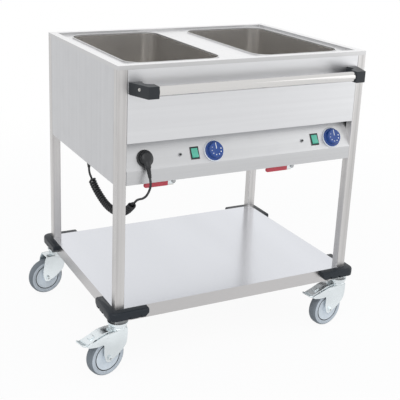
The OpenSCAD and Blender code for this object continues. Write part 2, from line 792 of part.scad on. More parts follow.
// A swept arm from the front panel to the boss that holds the bar
module bar_bracket(side) {
    color([0.2, 0.2, 0.22]) scale([side, 1, 1]) difference() {
        union() {
            translate([bracket_out, -panel_y, bar_z - bracket_h / 2]) linear_extrude(bracket_h) polygon([
                [0, 0], bracket_side[0], bracket_side[1], [-boss_in - bracket_front, -bar_reach - boss_r + 1],
                [-boss_in - bracket_front, -bar_reach + boss_r - 4], [-bracket_w, 0]
            ]);
            translate([0, -panel_y - bar_reach, bar_z]) rod_x(boss_r, boss_out - boss_l, boss_out);
        }
        translate([bracket_out - 60, -panel_y - 20, bar_z - bracket_h])
            cylinder(r = 26, h = 2 * bracket_h);
        translate([0, -panel_y - bar_reach, bar_z]) rod_x(bar_r + run_fit, boss_out - boss_l - 1, bar_half + seat_fit);
        at_clamp_screw() {
            rod_y(clamp_screw_r + run_fit, -1, clamp_screw_len + seat_fit, 32);
            rod_y(clamp_head_r + seat_fit, -20, clamp_head_h, 32);
        }
        at_base_screws(1) rod_y(base_screw_r + run_fit, -base_screw_len, 1, 32);
    }
}

module bracket_screws() {
    color("dimgray") for (side = [LEFT, RIGHT]) {
        scale([side, 1, 1]) at_clamp_screw() difference() {
            union() {
                rod_y(clamp_screw_r, 0, clamp_screw_len, 32);
                rod_y(clamp_head_r, -1, clamp_head_h, 32);
            }
            rod_y(2, -2, 2, 6);
        }
        at_base_screws(side) {
            rod_y(base_screw_r, -base_screw_len + 1, sheet + 1, 32);
            rod_y(2 * base_screw_r, sheet, sheet + 4, 32);
        }
    }
}

// ---- Lower shelf and bumpers ----

stem_len = 34;                        // length of a castor's stem above the shelf's underside

module lower_shelf() {
    color("gainsboro") difference() {
        union() {
            sleeve(body_w, body_d, leg_round, sheet, castor_h, shelf_z);
            sleeve(body_w, body_d, leg_round, shelf_flange, castor_h, castor_h + sheet);
            translate([0, 0, shelf_z - sheet]) linear_extrude(sheet) round_rect(body_w, body_d, leg_round);
            for (x = [-1, 1], y = [-1, 1]) translate([x * swivel_x, y * swivel_y, castor_h])
                linear_extrude(shelf_edge) round_rect(leg_side, leg_side, leg_round);
        }
        for (x = [-1, 1], y = [-1, 1]) translate([x * swivel_x, y * swivel_y, castor_h - 1])
            cylinder(r = kingpin_r + run_fit, h = stem_len + 2);
    }
}

// An L round the corner, its arms' lower ends cut back
module bumper(corner) {
    low = shelf_z + bumper_rise - bumper_h;
    end_cut = 12;
    out_x = body_w / 2 + bumper_out;
    out_y = body_d / 2 + bumper_out;
    color("darkslategray") scale([corner.x, corner.y, 1]) translate([0, 0, low]) difference() {
        linear_extrude(bumper_h) difference() {
            union() {
                translate([out_x - bumper_arm, out_y - bumper_out]) square([bumper_arm - bumper_round, bumper_out]);
                translate([out_x - bumper_out, out_y - bumper_arm]) square([bumper_out, bumper_arm - bumper_round]);
                translate([out_x - bumper_round, out_y - bumper_round]) circle(bumper_round);
            }
            square([body_w, body_d], center = true);
            bumper_end(out_x - bumper_arm, out_y, 1, -1);
            bumper_end(out_x, out_y - bumper_arm, -1, 1);
        }
        translate([out_x - bumper_arm, 0, 0]) rotate([-90, 0, 0]) linear_extrude(out_y + 1)
            polygon([[-1, -end_cut - 1], [-1, 1], [end_cut + 1, 1]]);
        translate([0, out_y - bumper_arm, 0]) rotate([90, 0, 90]) linear_extrude(out_x + 1)
            polygon([[-1, end_cut + 1], [-1, -1], [end_cut + 1, -1]]);
    }
}

// Cuts the outer corner off an arm's end, in plan
module bumper_end(x, y, way_x, way_y) {
    cut = 8;
    translate([x, y]) polygon([[-way_x, -way_y], [way_x * cut, -way_y], [-way_x, way_y * cut]]);
}

// ---- Castors ----

top_disc_r = 32;
top_disc_h = 6;
crown_t = 4;
crown_air = 17;                       // from the tyre's top to the crown's underside
foot_r = 10;
pedal_pin_r = 3;
pedal_gap = 1.5;                      // between a pedal and the fork's sides
shoe_air = 3.5;                       // from the shoe to the tyre, with the pedal down
castor_size = wheel_r / 62.5;         // against a castor with a 125 mm wheel
shoe_back = 23 * castor_size;
fork_in = tyre_w / 2 + fork_air;
fork_out = fork_in + fork_t;
crown_z = 2 * wheel_r + crown_air;
race_z = castor_h - top_disc_h - 7;
crown_rear = -trail - 4 * castor_size;
pedal_half = fork_in - pedal_gap;
// Pin of the brake pedal, behind the swivel and above the floor
pedal_at = [-trail - 6 * castor_size, crown_z - 8 * castor_size];

module at_swivel(corner, turn = 0) {
    translate([corner.x * swivel_x, corner.y * swivel_y, 0]) rotate([0, 0, turn]) children();
}

// The fixed heads: stem, top disc, race and the pin that carries the fork
module castor_heads() {
    color("slategray") for (corner = [FRONT_LEFT, FRONT_RIGHT, REAR_LEFT, REAR_RIGHT]) at_swivel(corner) {
        translate([0, 0, castor_h]) cylinder(r = kingpin_r, h = stem_len);
        translate([0, 0, castor_h - top_disc_h]) cylinder(r = top_disc_r, h = top_disc_h);
        translate([0, 0, race_z + seat_fit]) cylinder(r = race_r, h = castor_h - race_z - seat_fit);
        translate([0, 0, crown_z - 4]) cylinder(r = kingpin_r, h = castor_h - crown_z);
        translate([0, 0, crown_z - seat_fit - 4]) cylinder(r = foot_r, h = 4);
    }
}

// A pressed fork: crown, two sides that sweep back to the axle, race and axle
module castor_fork(corner, turn) {
    color("lightsteelblue") at_swivel(corner, turn) {
        difference() {
            union() {
                for (y = [-fork_out, fork_in]) fork_side(y, corner.y < 0);
                translate([crown_rear, -fork_out, crown_z])
                    cube([22 * castor_size - crown_rear, 2 * fork_out, crown_t]);
                translate([0, 0, crown_z]) cylinder(r = race_r, h = race_z - crown_z);
            }
            translate([0, 0, crown_z - 1]) cylinder(r = kingpin_r + run_fit, h = race_z - crown_z + 2);
        }
        translate([-trail, 0, wheel_r]) {
            rod_y(axle_r, -fork_in - 1, fork_in + 1);
            for (y = [-fork_out - 6, fork_out]) rod_y(axle_r + 2, y, y + 6, 6);
        }
        if (corner.y < 0) translate([pedal_at.x, 0, pedal_at.y]) rod_y(pedal_pin_r, -fork_in - 1, fork_in + 1, 32);
    }
}

// A fork's side, as [x, z] about the swivel; a braked one has a wing over the tyre
module fork_side(y, braked) {
    f = castor_size;
    wing = [
        [-65, 47], [-68, 51], [-79, 50.5], [-94, 51.5], [-117, 56.5], [-126, 62.5],
        [-123, 67.5], [-108, 70.5], [-90, 74.5], [-74, 78.5]
    ];
    plain = [[-65, 18], [-63, 37.5], [-56, 70]];
    translate([0, y + fork_t, 0]) rotate([90, 0, 0]) linear_extrude(fork_t) union() {
        polygon(concat(
            [
                [22 * f, crown_z + crown_t], [22 * f, crown_z - 16 * f], [18 * f, wheel_r + 32 * f],
                [10 * f, wheel_r + 20 * f], [-9 * f, wheel_r + 4 * f], [-trail + 10 * f, wheel_r - 11 * f],
                [-trail - 8 * f, wheel_r - 9 * f], [-trail - 18 * f, wheel_r]
            ],
            [for (p = braked ? wing : plain) [-trail + (p.x + 46) * f, wheel_r + p.y * f]],
            [[crown_rear, crown_z + crown_t]]
        ));
        translate([-trail, wheel_r]) circle(14 * f);
    }
}

module wheel_hub(corner, turn) {
    f = castor_size;
    hub_half = fork_in - 2 * seat_fit;
    web_half = 12 * f;
    rim_half = tyre_w / 2 - 2 * f;
    color("gainsboro") at_swivel(corner, turn) translate([-trail, 0, wheel_r]) rotate([90, 0, 0])
        rotate_extrude() polygon([
            [axle_r + run_fit, -hub_half], [axle_r + 7 * f, -hub_half], [axle_r + 7 * f, -web_half],
            [tyre_in_r - 7 * f, -web_half], [tyre_in_r - 5 * f, -rim_half], [tyre_in_r, -rim_half],
            [tyre_in_r, rim_half], [tyre_in_r - 5 * f, rim_half], [tyre_in_r - 7 * f, web_half],
            [axle_r + 7 * f, web_half], [axle_r + 7 * f, hub_half], [axle_r + run_fit, hub_half]
        ]);
}

module tyre(corner, turn) {
    shoulder = 6 * castor_size;
    color("slategray") at_swivel(corner, turn) translate([-trail, 0, wheel_r]) rotate([90, 0, 0])
        rotate_extrude() {
            translate([tyre_in_r, -tyre_w / 2]) square([wheel_r - tyre_in_r - shoulder, tyre_w]);
            translate([tyre_in_r, -tyre_w / 2 + shoulder]) square([wheel_r - tyre_in_r, tyre_w - 2 * shoulder]);
            for (side = [-1, 1])
                translate([wheel_r - shoulder, side * (tyre_w / 2 - shoulder)]) circle(shoulder);
        }
}

// A pressed pedal on the fork's pin: hood with an upturned toe, two webs and the shoe above the tyre
module brake_pedal(corner, turn) {
    f = castor_size;
    shoe_x = pedal_at.x - shoe_back;
    tyre_top = wheel_r + sqrt(wheel_r * wheel_r - (shoe_x + trail) * (shoe_x + trail));
    shoe_z = tyre_top + shoe_back * sin(pedal_travel) + shoe_air;
    hood = [
        [18, 16.5], [-10, 16.5], [-24, 13], [-38, 8.5], [-62, 0.5], [-74, -5.5], [-87, -2.5],
        [-89, -6], [-74, -9.5], [-61, -3], [-37, 5], [-23, 9.5], [-9, 13.3], [18, 13.3]
    ];
    web = [[-0.5, -7], [-0.5, 15], [-10, 15], [-24, 11], [-38, 6.5], [-18, -7]];
    color("lightsteelblue") at_swivel(corner, turn) difference() {
        union() {
            translate([pedal_at.x, 0, pedal_at.y]) {
                rod_y(pedal_pin_r + 3, -pedal_half, pedal_half);
                pedal_slice(hood * f, -pedal_half, pedal_half);
                for (y = [-pedal_half, pedal_half - 2.5]) pedal_slice(web * f, y, y + 2.5);
            }
            translate([shoe_x - 6 * f, -10 * f, shoe_z]) cube([12 * f, 20 * f, pedal_at.y + 10.5 * f - shoe_z]);
        }
        translate([pedal_at.x, 0, pedal_at.y]) rod_y(pedal_pin_r + run_fit, -pedal_half - 1, pedal_half + 1, 32);
    }
}

// An outline of [x, z] points drawn out along Y from y = a to y = b
module pedal_slice(outline, a, b) {
    translate([0, b, 0]) rotate([90, 0, 0]) linear_extrude(b - a) polygon(outline);
}

// ---- The trolley ----

leg(FRONT_LEFT);  // leg_front_left
leg(FRONT_RIGHT);  // leg_front_right
leg(REAR_LEFT);  // leg_rear_left
leg(REAR_RIGHT);  // leg_rear_right
top_deck();
well(LEFT);  // well_left
well(RIGHT);  // well_right
side_panel(LEFT);  // side_panel_left
side_panel(RIGHT);  // side_panel_right
front_panel();
rear_panel();
control_panel();
bottom_cover();
heating_element(LEFT);  // heating_element_left
heating_element(RIGHT);  // heating_element_right
thermostat(LEFT);  // thermostat_left
thermostat(RIGHT);  // thermostat_right
knob(LEFT);  // knob_left
knob(RIGHT);  // knob_right
switch_bezel(LEFT);  // switch_bezel_left
switch_bezel(RIGHT);  // switch_bezel_right
switch_rocker(LEFT);  // switch_rocker_left
switch_rocker(RIGHT);  // switch_rocker_right
reset_bushes();
reset_button(LEFT);  // reset_button_left
reset_button(RIGHT);  // reset_button_right
plug_dock();
plug();
cable_gland();
cord_lead();
cord_curls();
cord_tail();
drain_valve(LEFT);  // drain_valve_left
drain_valve(RIGHT);  // drain_valve_right
valve_lever(LEFT);  // valve_lever_left
valve_lever(RIGHT);  // valve_lever_right
push_bar();
bar_bracket(LEFT);  // bar_bracket_left
bar_bracket(RIGHT);  // bar_bracket_right
bracket_screws();
lower_shelf();
bumper(FRONT_LEFT);  // bumper_front_left
bumper(FRONT_RIGHT);  // bumper_front_right
bumper(REAR_LEFT);  // bumper_rear_left
bumper(REAR_RIGHT);  // bumper_rear_right
castor_heads();
castor_fork(FRONT_LEFT, turn_front_left);  // castor_fork_front_left
castor_fork(FRONT_RIGHT, turn_front_right);  // castor_fork_front_right
castor_fork(REAR_LEFT, turn_rear_left);  // castor_fork_rear_left
castor_fork(REAR_RIGHT, turn_rear_right);  // castor_fork_rear_right
wheel_hub(FRONT_LEFT, turn_front_left);  // wheel_hub_front_left
wheel_hub(FRONT_RIGHT, turn_front_right);  // wheel_hub_front_right
wheel_hub(REAR_LEFT, turn_rear_left);  // wheel_hub_rear_left
wheel_hub(REAR_RIGHT, turn_rear_right);  // wheel_hub_rear_right
tyre(FRONT_LEFT, turn_front_left);  // tyre_front_left
tyre(FRONT_RIGHT, turn_front_right);  // tyre_front_right
tyre(REAR_LEFT, turn_rear_left);  // tyre_rear_left
tyre(REAR_RIGHT, turn_rear_right);  // tyre_rear_right
brake_pedal(FRONT_LEFT, turn_front_left);  // brake_pedal_front_left
brake_pedal(FRONT_RIGHT, turn_front_right);  // brake_pedal_front_right
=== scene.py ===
"""Dresses a mobile bain-marie trolley: steel bodywork, wells, controls, lead, push bar and castors.

Sizes inside the classes are millimetres in the trolley's own frame; a place matrix brings them to metres.
"""

import logging
import math
from dataclasses import dataclass, field
from enum import Enum
from typing import Any, Optional, Sequence

import bmesh
import bpy
from mathutils import Matrix, Vector


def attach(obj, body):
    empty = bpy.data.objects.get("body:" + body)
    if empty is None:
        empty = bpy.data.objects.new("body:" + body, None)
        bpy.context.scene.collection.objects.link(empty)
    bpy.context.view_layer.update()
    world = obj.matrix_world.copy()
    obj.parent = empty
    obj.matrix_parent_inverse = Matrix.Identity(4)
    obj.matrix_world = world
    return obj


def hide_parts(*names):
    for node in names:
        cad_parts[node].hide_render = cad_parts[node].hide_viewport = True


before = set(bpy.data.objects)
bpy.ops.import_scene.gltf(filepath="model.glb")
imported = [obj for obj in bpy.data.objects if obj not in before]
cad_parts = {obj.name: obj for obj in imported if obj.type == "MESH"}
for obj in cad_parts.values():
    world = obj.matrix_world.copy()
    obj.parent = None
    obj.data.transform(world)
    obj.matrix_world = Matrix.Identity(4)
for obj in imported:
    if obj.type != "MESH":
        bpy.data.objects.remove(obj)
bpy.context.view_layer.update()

LOG = logging.getLogger("trolley")
MM = 0.001
Colour = tuple[float, float, float]
Point = tuple[float, float, float]
Route = tuple[Point, ...]
Outline = list[tuple[float, float]]
Ring = list[Vector]


class Side(Enum):
    """Left or right of the trolley, with its sign along X."""

    LEFT = -1
    RIGHT = 1

    @property
    def word(self) -> str:
        """The side's word in the names of the nodes."""
        return self.name.lower()


class Corner(Enum):
    """A corner of the trolley: its signs along X and Y and the turn of its castor in degrees."""

    FRONT_LEFT = (-1, -1, 14.0)
    FRONT_RIGHT = (1, -1, 8.5)
    REAR_LEFT = (-1, 1, 8.0)
    REAR_RIGHT = (1, 1, 11.0)

    @property
    def word(self) -> str:
        """The corner's words in the names of the nodes."""
        return self.name.lower()

    @property
    def braked(self) -> bool:
        """Whether the castor at this corner has a brake pedal."""
        return self.value[1] < 0


class Grain(Enum):
    """The way in which a sheet or tube is brushed, as the stretch of its streaks along X, Y and Z."""

    ALONG_X = (1.5, 140.0, 140.0)
    ALONG_Y = (140.0, 1.5, 140.0)
    ALONG_Z = (140.0, 140.0, 1.5)
    DRAWN = (30.0, 30.0, 3.0)


class Ends(Enum):
    """What closes the two ends of a loft."""

    CAPPED = "capped"
    JOINED = "joined"


# ---- Places ----


def upright() -> Matrix:
    """Millimetres in the trolley's frame to metres."""
    return Matrix.Scale(MM, 4)


def moved(x: float, y: float, z: float) -> Matrix:
    """A shift in millimetres."""
    return Matrix.Translation((x, y, z))


def turned_to(x_way: Sequence[float], y_way: Sequence[float], z_way: Sequence[float]) -> Matrix:
    """The turn that brings the local axes to the three ways given."""
    return Matrix((x_way, y_way, z_way)).transposed().to_4x4()


TO_X = turned_to((0, 1, 0), (0, 0, 1), (1, 0, 0))
TO_Y = turned_to((1, 0, 0), (0, 0, 1), (0, -1, 0))


def mirrored(side: Side) -> Matrix:
    """Leaves the right side as it is and turns it over for the left."""
    return Matrix.Diagonal((side.value, 1, 1, 1))


# ---- Shaders ----


class Level:
    """A number socket of a node tree that takes Python's operators."""

    def __init__(self, tree: "Nodes", socket: bpy.types.NodeSocket) -> None:
        """Wraps a socket of a tree."""
        self.tree = tree
        self.socket = socket

    def _math(self, operation: str, first: Any, second: Any) -> "Level":
        """Adds a Math node on two levels or numbers."""
        node = self.tree.node("ShaderNodeMath", {"operation": operation}, {0: first, 1: second})
        return Level(self.tree, node.outputs[0])

    def __add__(self, other: Any) -> "Level":
        """Sum with another level or number."""
        return self._math("ADD", self, other)

    __radd__ = __add__

    def __mul__(self, other: Any) -> "Level":
        """Product with another level or number."""
        return self._math("MULTIPLY", self, other)

    __rmul__ = __mul__

    def __sub__(self, other: Any) -> "Level":
        """Difference from another level or number."""
        return self._math("SUBTRACT", self, other)

    def __rsub__(self, other: Any) -> "Level":
        """Difference of a number from this level."""
        return self._math("SUBTRACT", other, self)

    def at_least(self, other: Any) -> "Level":
        """The higher of this level and another."""
        return self._math("MAXIMUM", self, other)

    def rise(self, low: float, high: float) -> "Level":
        """A smooth rise from 0 at low to 1 at high."""
        node = self.tree.node(
            "ShaderNodeMapRange", {"interpolation_type": "SMOOTHSTEP"},
            {"Value": self, "From Min": low, "From Max": high})
        return Level(self.tree, node.outputs[0])


class Nodes:
    """The nodes of a material or of the surroundings."""

    def __init__(self, tree: bpy.types.NodeTree) -> None:
        """Takes the tree that the nodes go into."""
        self.tree = tree

    def node(self, kind: str, settings: Optional[dict[str, Any]] = None,
             sockets: Optional[dict[Any, Any]] = None) -> bpy.types.Node:
        """Adds a node, sets it, then fills or links its sockets.

        Args:
            kind: The node's type.
            settings: Its settings, by name.
            sockets: Values or links of its sockets, by name or place.

        Returns:
            The node.
        """
        node = self.tree.nodes.new(kind)
        for key, value in (settings or {}).items():
            setattr(node, key, value)
        for key, value in (sockets or {}).items():
            if isinstance(value, Level):
                value = value.socket
            if isinstance(value, bpy.types.NodeSocket):
                self.tree.links.new(value, node.inputs[key])
            else:
                node.inputs[key].default_value = value
        return node

    def seen(self) -> Level:
        """1 for what the camera sees, also mirrored or through glass, and 0 for other light."""
        path = self.node("ShaderNodeLightPath").outputs
        camera, glossy, through = (
            Level(self, path[ray]) for ray in ("Is Camera Ray", "Is Glossy Ray", "Is Transmission Ray"))
        return camera.at_least(glossy).at_least(through)


class ShaderTree(Nodes):
    """The nodes of one material."""

    def __init__(self, name: str) -> None:
        """Makes the material and finds its shader."""
        self.material = bpy.data.materials.new(name)
        self.material.use_nodes = True
        super().__init__(self.material.node_tree)
        self.shader = next(n for n in self.tree.nodes if n.type == "BSDF_PRINCIPLED")
        self._object_place: Optional[bpy.types.NodeSocket] = None

    def place(self) -> bpy.types.NodeSocket:
        """The object coordinates, metres in the trolley's frame, from one node for all that reads them."""
        if self._object_place is None:
            self._object_place = self.node("ShaderNodeTexCoord").outputs["Object"]
        return self._object_place

    def facing_up(self) -> Level:
        """1 where a face looks straight up, 0 where it stands upright."""
        normal = self.node("ShaderNodeNewGeometry").outputs["True Normal"]
        return Level(self, self.node("ShaderNodeSeparateXYZ", None, {0: normal}).outputs[2])

    def noise(self, scale: float, stretch: Sequence[float] = (1, 1, 1), detail: float = 2.0) -> Level:
        """Noise in the object's coordinates.

        Args:
            scale: Its scale.
            stretch: How much closer it lies along each axis.
            detail: Its detail.

        Returns:
            The noise, about 0.5.
        """
        way = self.node("ShaderNodeMapping", None, {"Vector": self.place(), "Scale": tuple(stretch)})
        node = self.node(
            "ShaderNodeTexNoise", None, {"Vector": way.outputs[0], "Scale": scale, "Detail": detail})
        return Level(self, node.outputs[0])

    def tinted(self, colour: Any, tone: Level) -> bpy.types.NodeSocket:
        """A colour, or a colour socket, made lighter or darker by a level."""
        node = self.node("ShaderNodeVectorMath", {"operation": "SCALE"}, {0: colour, "Scale": tone})
        return node.outputs[0]

    def blend(self, mask: Level, first: Any, second: Any) -> bpy.types.NodeSocket:
        """One colour where the mask is 0 and another where it is 1.

        Args:
            mask: The mask.
            first: A colour or a colour socket.
            second: A colour or a colour socket.

        Returns:
            The blended colour.
        """
        first, second = ((*c, 1) if isinstance(c, tuple) else c for c in (first, second))
        node = self.node("ShaderNodeMix", {"data_type": "RGBA"}, {0: mask, 6: first, 7: second})
        return node.outputs[2]

    def relief(self, height: Level, strength: float, depth: float, edge: float = 0.0) -> bpy.types.NodeSocket:
        """A bumped normal, with the edges of the piece rounded off.

        Args:
            height: The bump's height.
            strength: Its strength.
            depth: Its depth in metres.
            edge: The radius that edges seem to have, in metres.

        Returns:
            The normal.
        """
        sockets: dict[Any, Any] = {"Height": height, "Strength": strength, "Distance": depth}
        if edge:
            sockets["Normal"] = self.node("ShaderNodeBevel", {"samples": 4}, {"Radius": edge}).outputs[0]
        return self.node("ShaderNodeBump", None, sockets).outputs[0]

    def paint(self, **sockets: Any) -> bpy.types.Material:
        """Fills the shader's sockets and returns the material.

        Args:
            **sockets: Values, levels or links, by the sockets' names with _ for spaces.

        Returns:
            The material.
        """
        for key, value in sockets.items():
            socket = self.shader.inputs[key.replace("_", " ")]
            if isinstance(value, Level):
                value = value.socket
            if isinstance(value, bpy.types.NodeSocket):
                self.tree.links.new(value, socket)
            elif isinstance(value, tuple) and len(value) == 3:
                socket.default_value = (*value, 1)
            else:
                socket.default_value = value
        return self.material


@dataclass(frozen=True)
class BrushedSteel:
    """Stainless steel with fine streaks along the way it was brushed.

    Its streak and band are the contrast of the fine and the broad streaks, its edge is the radius that
    edges seem to have, in metres, and its grit is the unevenness of its polish.
    """

    name: str
    colour: Colour
    roughness: float
    grain: Grain
    streak: float = 0.10
    band: float = 0.0
    edge: float = 0.0007
    grit: float = 0.06

    def make(self) -> bpy.types.Material:
        """Builds the material.

        Returns:
            The material.
        """
        tree = ShaderTree(self.name)
        fine = tree.noise(9.0, self.grain.value, 4.0)
        cloud = tree.noise(3.2, detail=2.0)
        smear = tree.noise(21.0, detail=4.0).rise(0.45, 0.75)
        bands = tree.noise(0.55, self.grain.value, 1.0)
        tone = (1.0 + (fine - 0.5) * self.streak + (cloud - 0.5) * self.streak * 0.7
                + (bands - 0.5) * self.band)
        return tree.paint(
            Base_Color=tree.tinted(self.colour, tone),
            Metallic=1.0,
            Roughness=(fine - 0.5) * self.grit * 2.6 + smear * self.grit * 0.8 + self.roughness,
            Normal=tree.relief(fine, self.grit, 0.0004, self.edge))


@dataclass(frozen=True)
class FoldedSteel:
    """Folded sheet whose level faces mirror softly and whose upright faces are rougher, with painted shade:
    upright faces get a darker colour than level ones.
    """

    name: str
    top: Colour
    # painted shade: the darker colour given to faces that stand upright
    shaded_side_colour: Colour
    polish: float = 0.14

    def make(self) -> bpy.types.Material:
        """Builds the material.

        Returns:
            The material.
        """
        tree = ShaderTree(self.name)
        fine = tree.noise(9.0, Grain.ALONG_Y.value, 4.0)
        broad = tree.noise(2.0, (2.4, 0.4, 1.0), 1.0)
        flat = tree.facing_up().rise(0.8, 0.95)
        tone = 1.0 + (fine - 0.5) * 0.06 + (broad - 0.5) * 0.16
        return tree.paint(
            # painted shade: upright faces take the darker colour, level faces the lighter top colour
            Base_Color=tree.tinted(tree.blend(flat, self.shaded_side_colour, self.top), tone),
            Metallic=1.0,
            Roughness=(fine - 0.5) * 0.08 + 0.34 - flat * self.polish,
            Normal=tree.relief(fine, 0.04, 0.0003, 0.0008))


@dataclass(frozen=True)
class PlatedZinc:
    """Bright zinc plate with the soft mottling of pressed steel."""

    name: str
    colour: Colour
    roughness: float = 0.26

    def make(self) -> bpy.types.Material:
        """Builds the material.

        Returns:
            The material.
        """
        tree = ShaderTree(self.name)
        mottle = tree.noise(60.0, detail=2.0)
        cloud = tree.noise(9.0, detail=1.0)
        tone = 0.92 + (mottle - 0.5) * 0.05 + cloud.rise(0.35, 0.65) * 0.16
        return tree.paint(
            Base_Color=tree.tinted(self.colour, tone),
            Metallic=1.0,
            Roughness=(mottle - 0.5) * 0.06 + self.roughness,
            Normal=tree.relief(cloud, 0.25, 0.006, 0.0009))


@dataclass(frozen=True)
class Moulding:
    """A moulded plastic or rubber with its fine grain.

    Its grain is the depth of the pebbled surface, its sheen the strength of its mirroring, and its edge
    the radius that edges seem to have, in metres.
    """

    name: str
    colour: Colour
    roughness: float
    grain: float = 0.15
    sheen: float = 0.35
    edge: float = 0.0006

    def make(self) -> bpy.types.Material:
        """Builds the material.

        Returns:
            The material.
        """
        tree = ShaderTree(self.name)
        pebble = tree.noise(900.0, detail=2.0)
        cloud = tree.noise(26.0, detail=3.0)
        tone = 1.0 + (cloud - 0.5) * 0.35
        return tree.paint(
            Base_Color=tree.tinted(self.colour, tone),
            Roughness=(pebble - 0.5) * self.grain + (cloud - 0.5) * 0.1 + self.roughness,
            Specular_IOR_Level=self.sheen,
            Normal=tree.relief(pebble, self.grain, 0.0002, self.edge))


@dataclass(frozen=True)
class GlossMoulding:
    """A smooth moulding with a clear, slightly uneven surface."""

    name: str
    colour: Colour
    glow: float = 0.0

    def make(self) -> bpy.types.Material:
        """Builds the material.

        Returns:
            The material.
        """
        tree = ShaderTree(self.name)
        cloud = tree.noise(60.0, detail=2.0)
        tone = 1.0 + (cloud - 0.5) * 0.25
        colour = tree.tinted(self.colour, tone)
        material = tree.paint(
            Base_Color=colour,
            Roughness=(cloud - 0.5) * 0.1 + 0.3,
            Coat_Weight=0.25,
            Coat_Roughness=0.12,
            Normal=tree.relief(cloud, 0.05, 0.0005, 0.0005))
        if self.glow:
            tree.paint(Emission_Color=colour, Emission_Strength=self.glow)
        return material


def made(finish: Any) -> Any:
    """A palette's field: the material of a finish, made with the palette."""
    return field(default_factory=finish.make)


@dataclass
class Palette:
    """Every finish of the trolley, made once and shared."""

    tube: bpy.types.Material = made(
        BrushedSteel("brushed leg tube", (0.58, 0.57, 0.565), 0.34, Grain.ALONG_Z, 0.22, 0.6))
    # painted shade: the side sheet is the front sheet's steel given a darker colour, as it faces away from
    # the light
    side: bpy.types.Material = made(
        BrushedSteel("brushed side sheet", (0.56, 0.565, 0.58), 0.38, Grain.ALONG_Z, 0.06, 0.10))
    front: bpy.types.Material = made(
        BrushedSteel("brushed front sheet", (0.68, 0.685, 0.70), 0.36, Grain.ALONG_X, 0.06, 0.10))
    # painted shade: the control sheet is the front sheet's steel given a darker colour, against the stronger
    # light on the slope
    control: bpy.types.Material = made(
        BrushedSteel("brushed control sheet", (0.56, 0.565, 0.575), 0.36, Grain.ALONG_X, 0.10, 0.14))
    # painted shade: the second colour, for upright faces, is darker than the first, for level faces
    deck: bpy.types.Material = made(
        FoldedSteel("satin deck sheet", (0.86, 0.86, 0.87), (0.56, 0.56, 0.565), 0.06))
    well: bpy.types.Material = made(
        BrushedSteel("drawn well steel", (0.695, 0.68, 0.66), 0.27, Grain.DRAWN, 0.02, grit=0.0))
    bar: bpy.types.Material = made(
        BrushedSteel("brushed push bar tube", (0.66, 0.65, 0.64), 0.10, Grain.ALONG_X, 0.05, grit=0.02))
    dark_steel: bpy.types.Material = made(
        BrushedSteel("heat-darkened tube", (0.22, 0.21, 0.21), 0.42, Grain.ALONG_Y, 0.3))
    # painted shade: the second colour, for upright faces, is darker than the first, for level faces
    shelf: bpy.types.Material = made(
        FoldedSteel("folded shelf sheet", (0.71, 0.725, 0.765), (0.54, 0.53, 0.53)))
    zinc: bpy.types.Material = made(PlatedZinc("bright zinc plate", (0.74, 0.79, 0.81)))
    dull_zinc: bpy.types.Material = made(PlatedZinc("dull zinc nut", (0.42, 0.43, 0.44), 0.4))
    nickel: bpy.types.Material = made(PlatedZinc("nickel-plated brass", (0.66, 0.65, 0.62), 0.22))
    bumper: bpy.types.Material = made(
        Moulding("bumper moulding", (0.013, 0.018, 0.025), 0.42, 0.12, 0.32))
    bracket: bpy.types.Material = made(
        Moulding("bracket moulding", (0.015, 0.019, 0.024), 0.38, 0.10, 0.4))
    black: bpy.types.Material = made(Moulding("black moulding", (0.012, 0.013, 0.015), 0.34, 0.08, 0.5))
    rubber: bpy.types.Material = made(
        Moulding("lead sheath", (0.014, 0.015, 0.017), 0.42, 0.06, 0.5, 0.0))
    resin: bpy.types.Material = made(Moulding("thermostat resin", (0.42, 0.28, 0.15), 0.5))
    # painted shade: the tread is the sidewall's rubber given a darker colour, as it turns away from the light
    shaded_tread: bpy.types.Material = made(Moulding("tyre tread", (0.20, 0.225, 0.25), 0.62, 0.2, 0.25))
    tyre_side: bpy.types.Material = made(Moulding("tyre side", (0.53, 0.58, 0.63), 0.6, 0.12, 0.25))
    hub: bpy.types.Material = made(Moulding("hub moulding", (0.70, 0.765, 0.82), 0.5, 0.08, 0.3))
    groove: bpy.types.Material = made(Moulding("dark joint", (0.05, 0.055, 0.06), 0.6))
    blue: bpy.types.Material = made(GlossMoulding("blue knob moulding", (0.002, 0.052, 0.27)))
    white: bpy.types.Material = made(GlossMoulding("white print", (0.84, 0.88, 0.93)))
    green: bpy.types.Material = made(GlossMoulding("green rocker lens", (0.09, 0.47, 0.34), 0.12))
    red: bpy.types.Material = made(GlossMoulding("red dipped grip", (0.60, 0.045, 0.075)))


# ---- Modelling ----


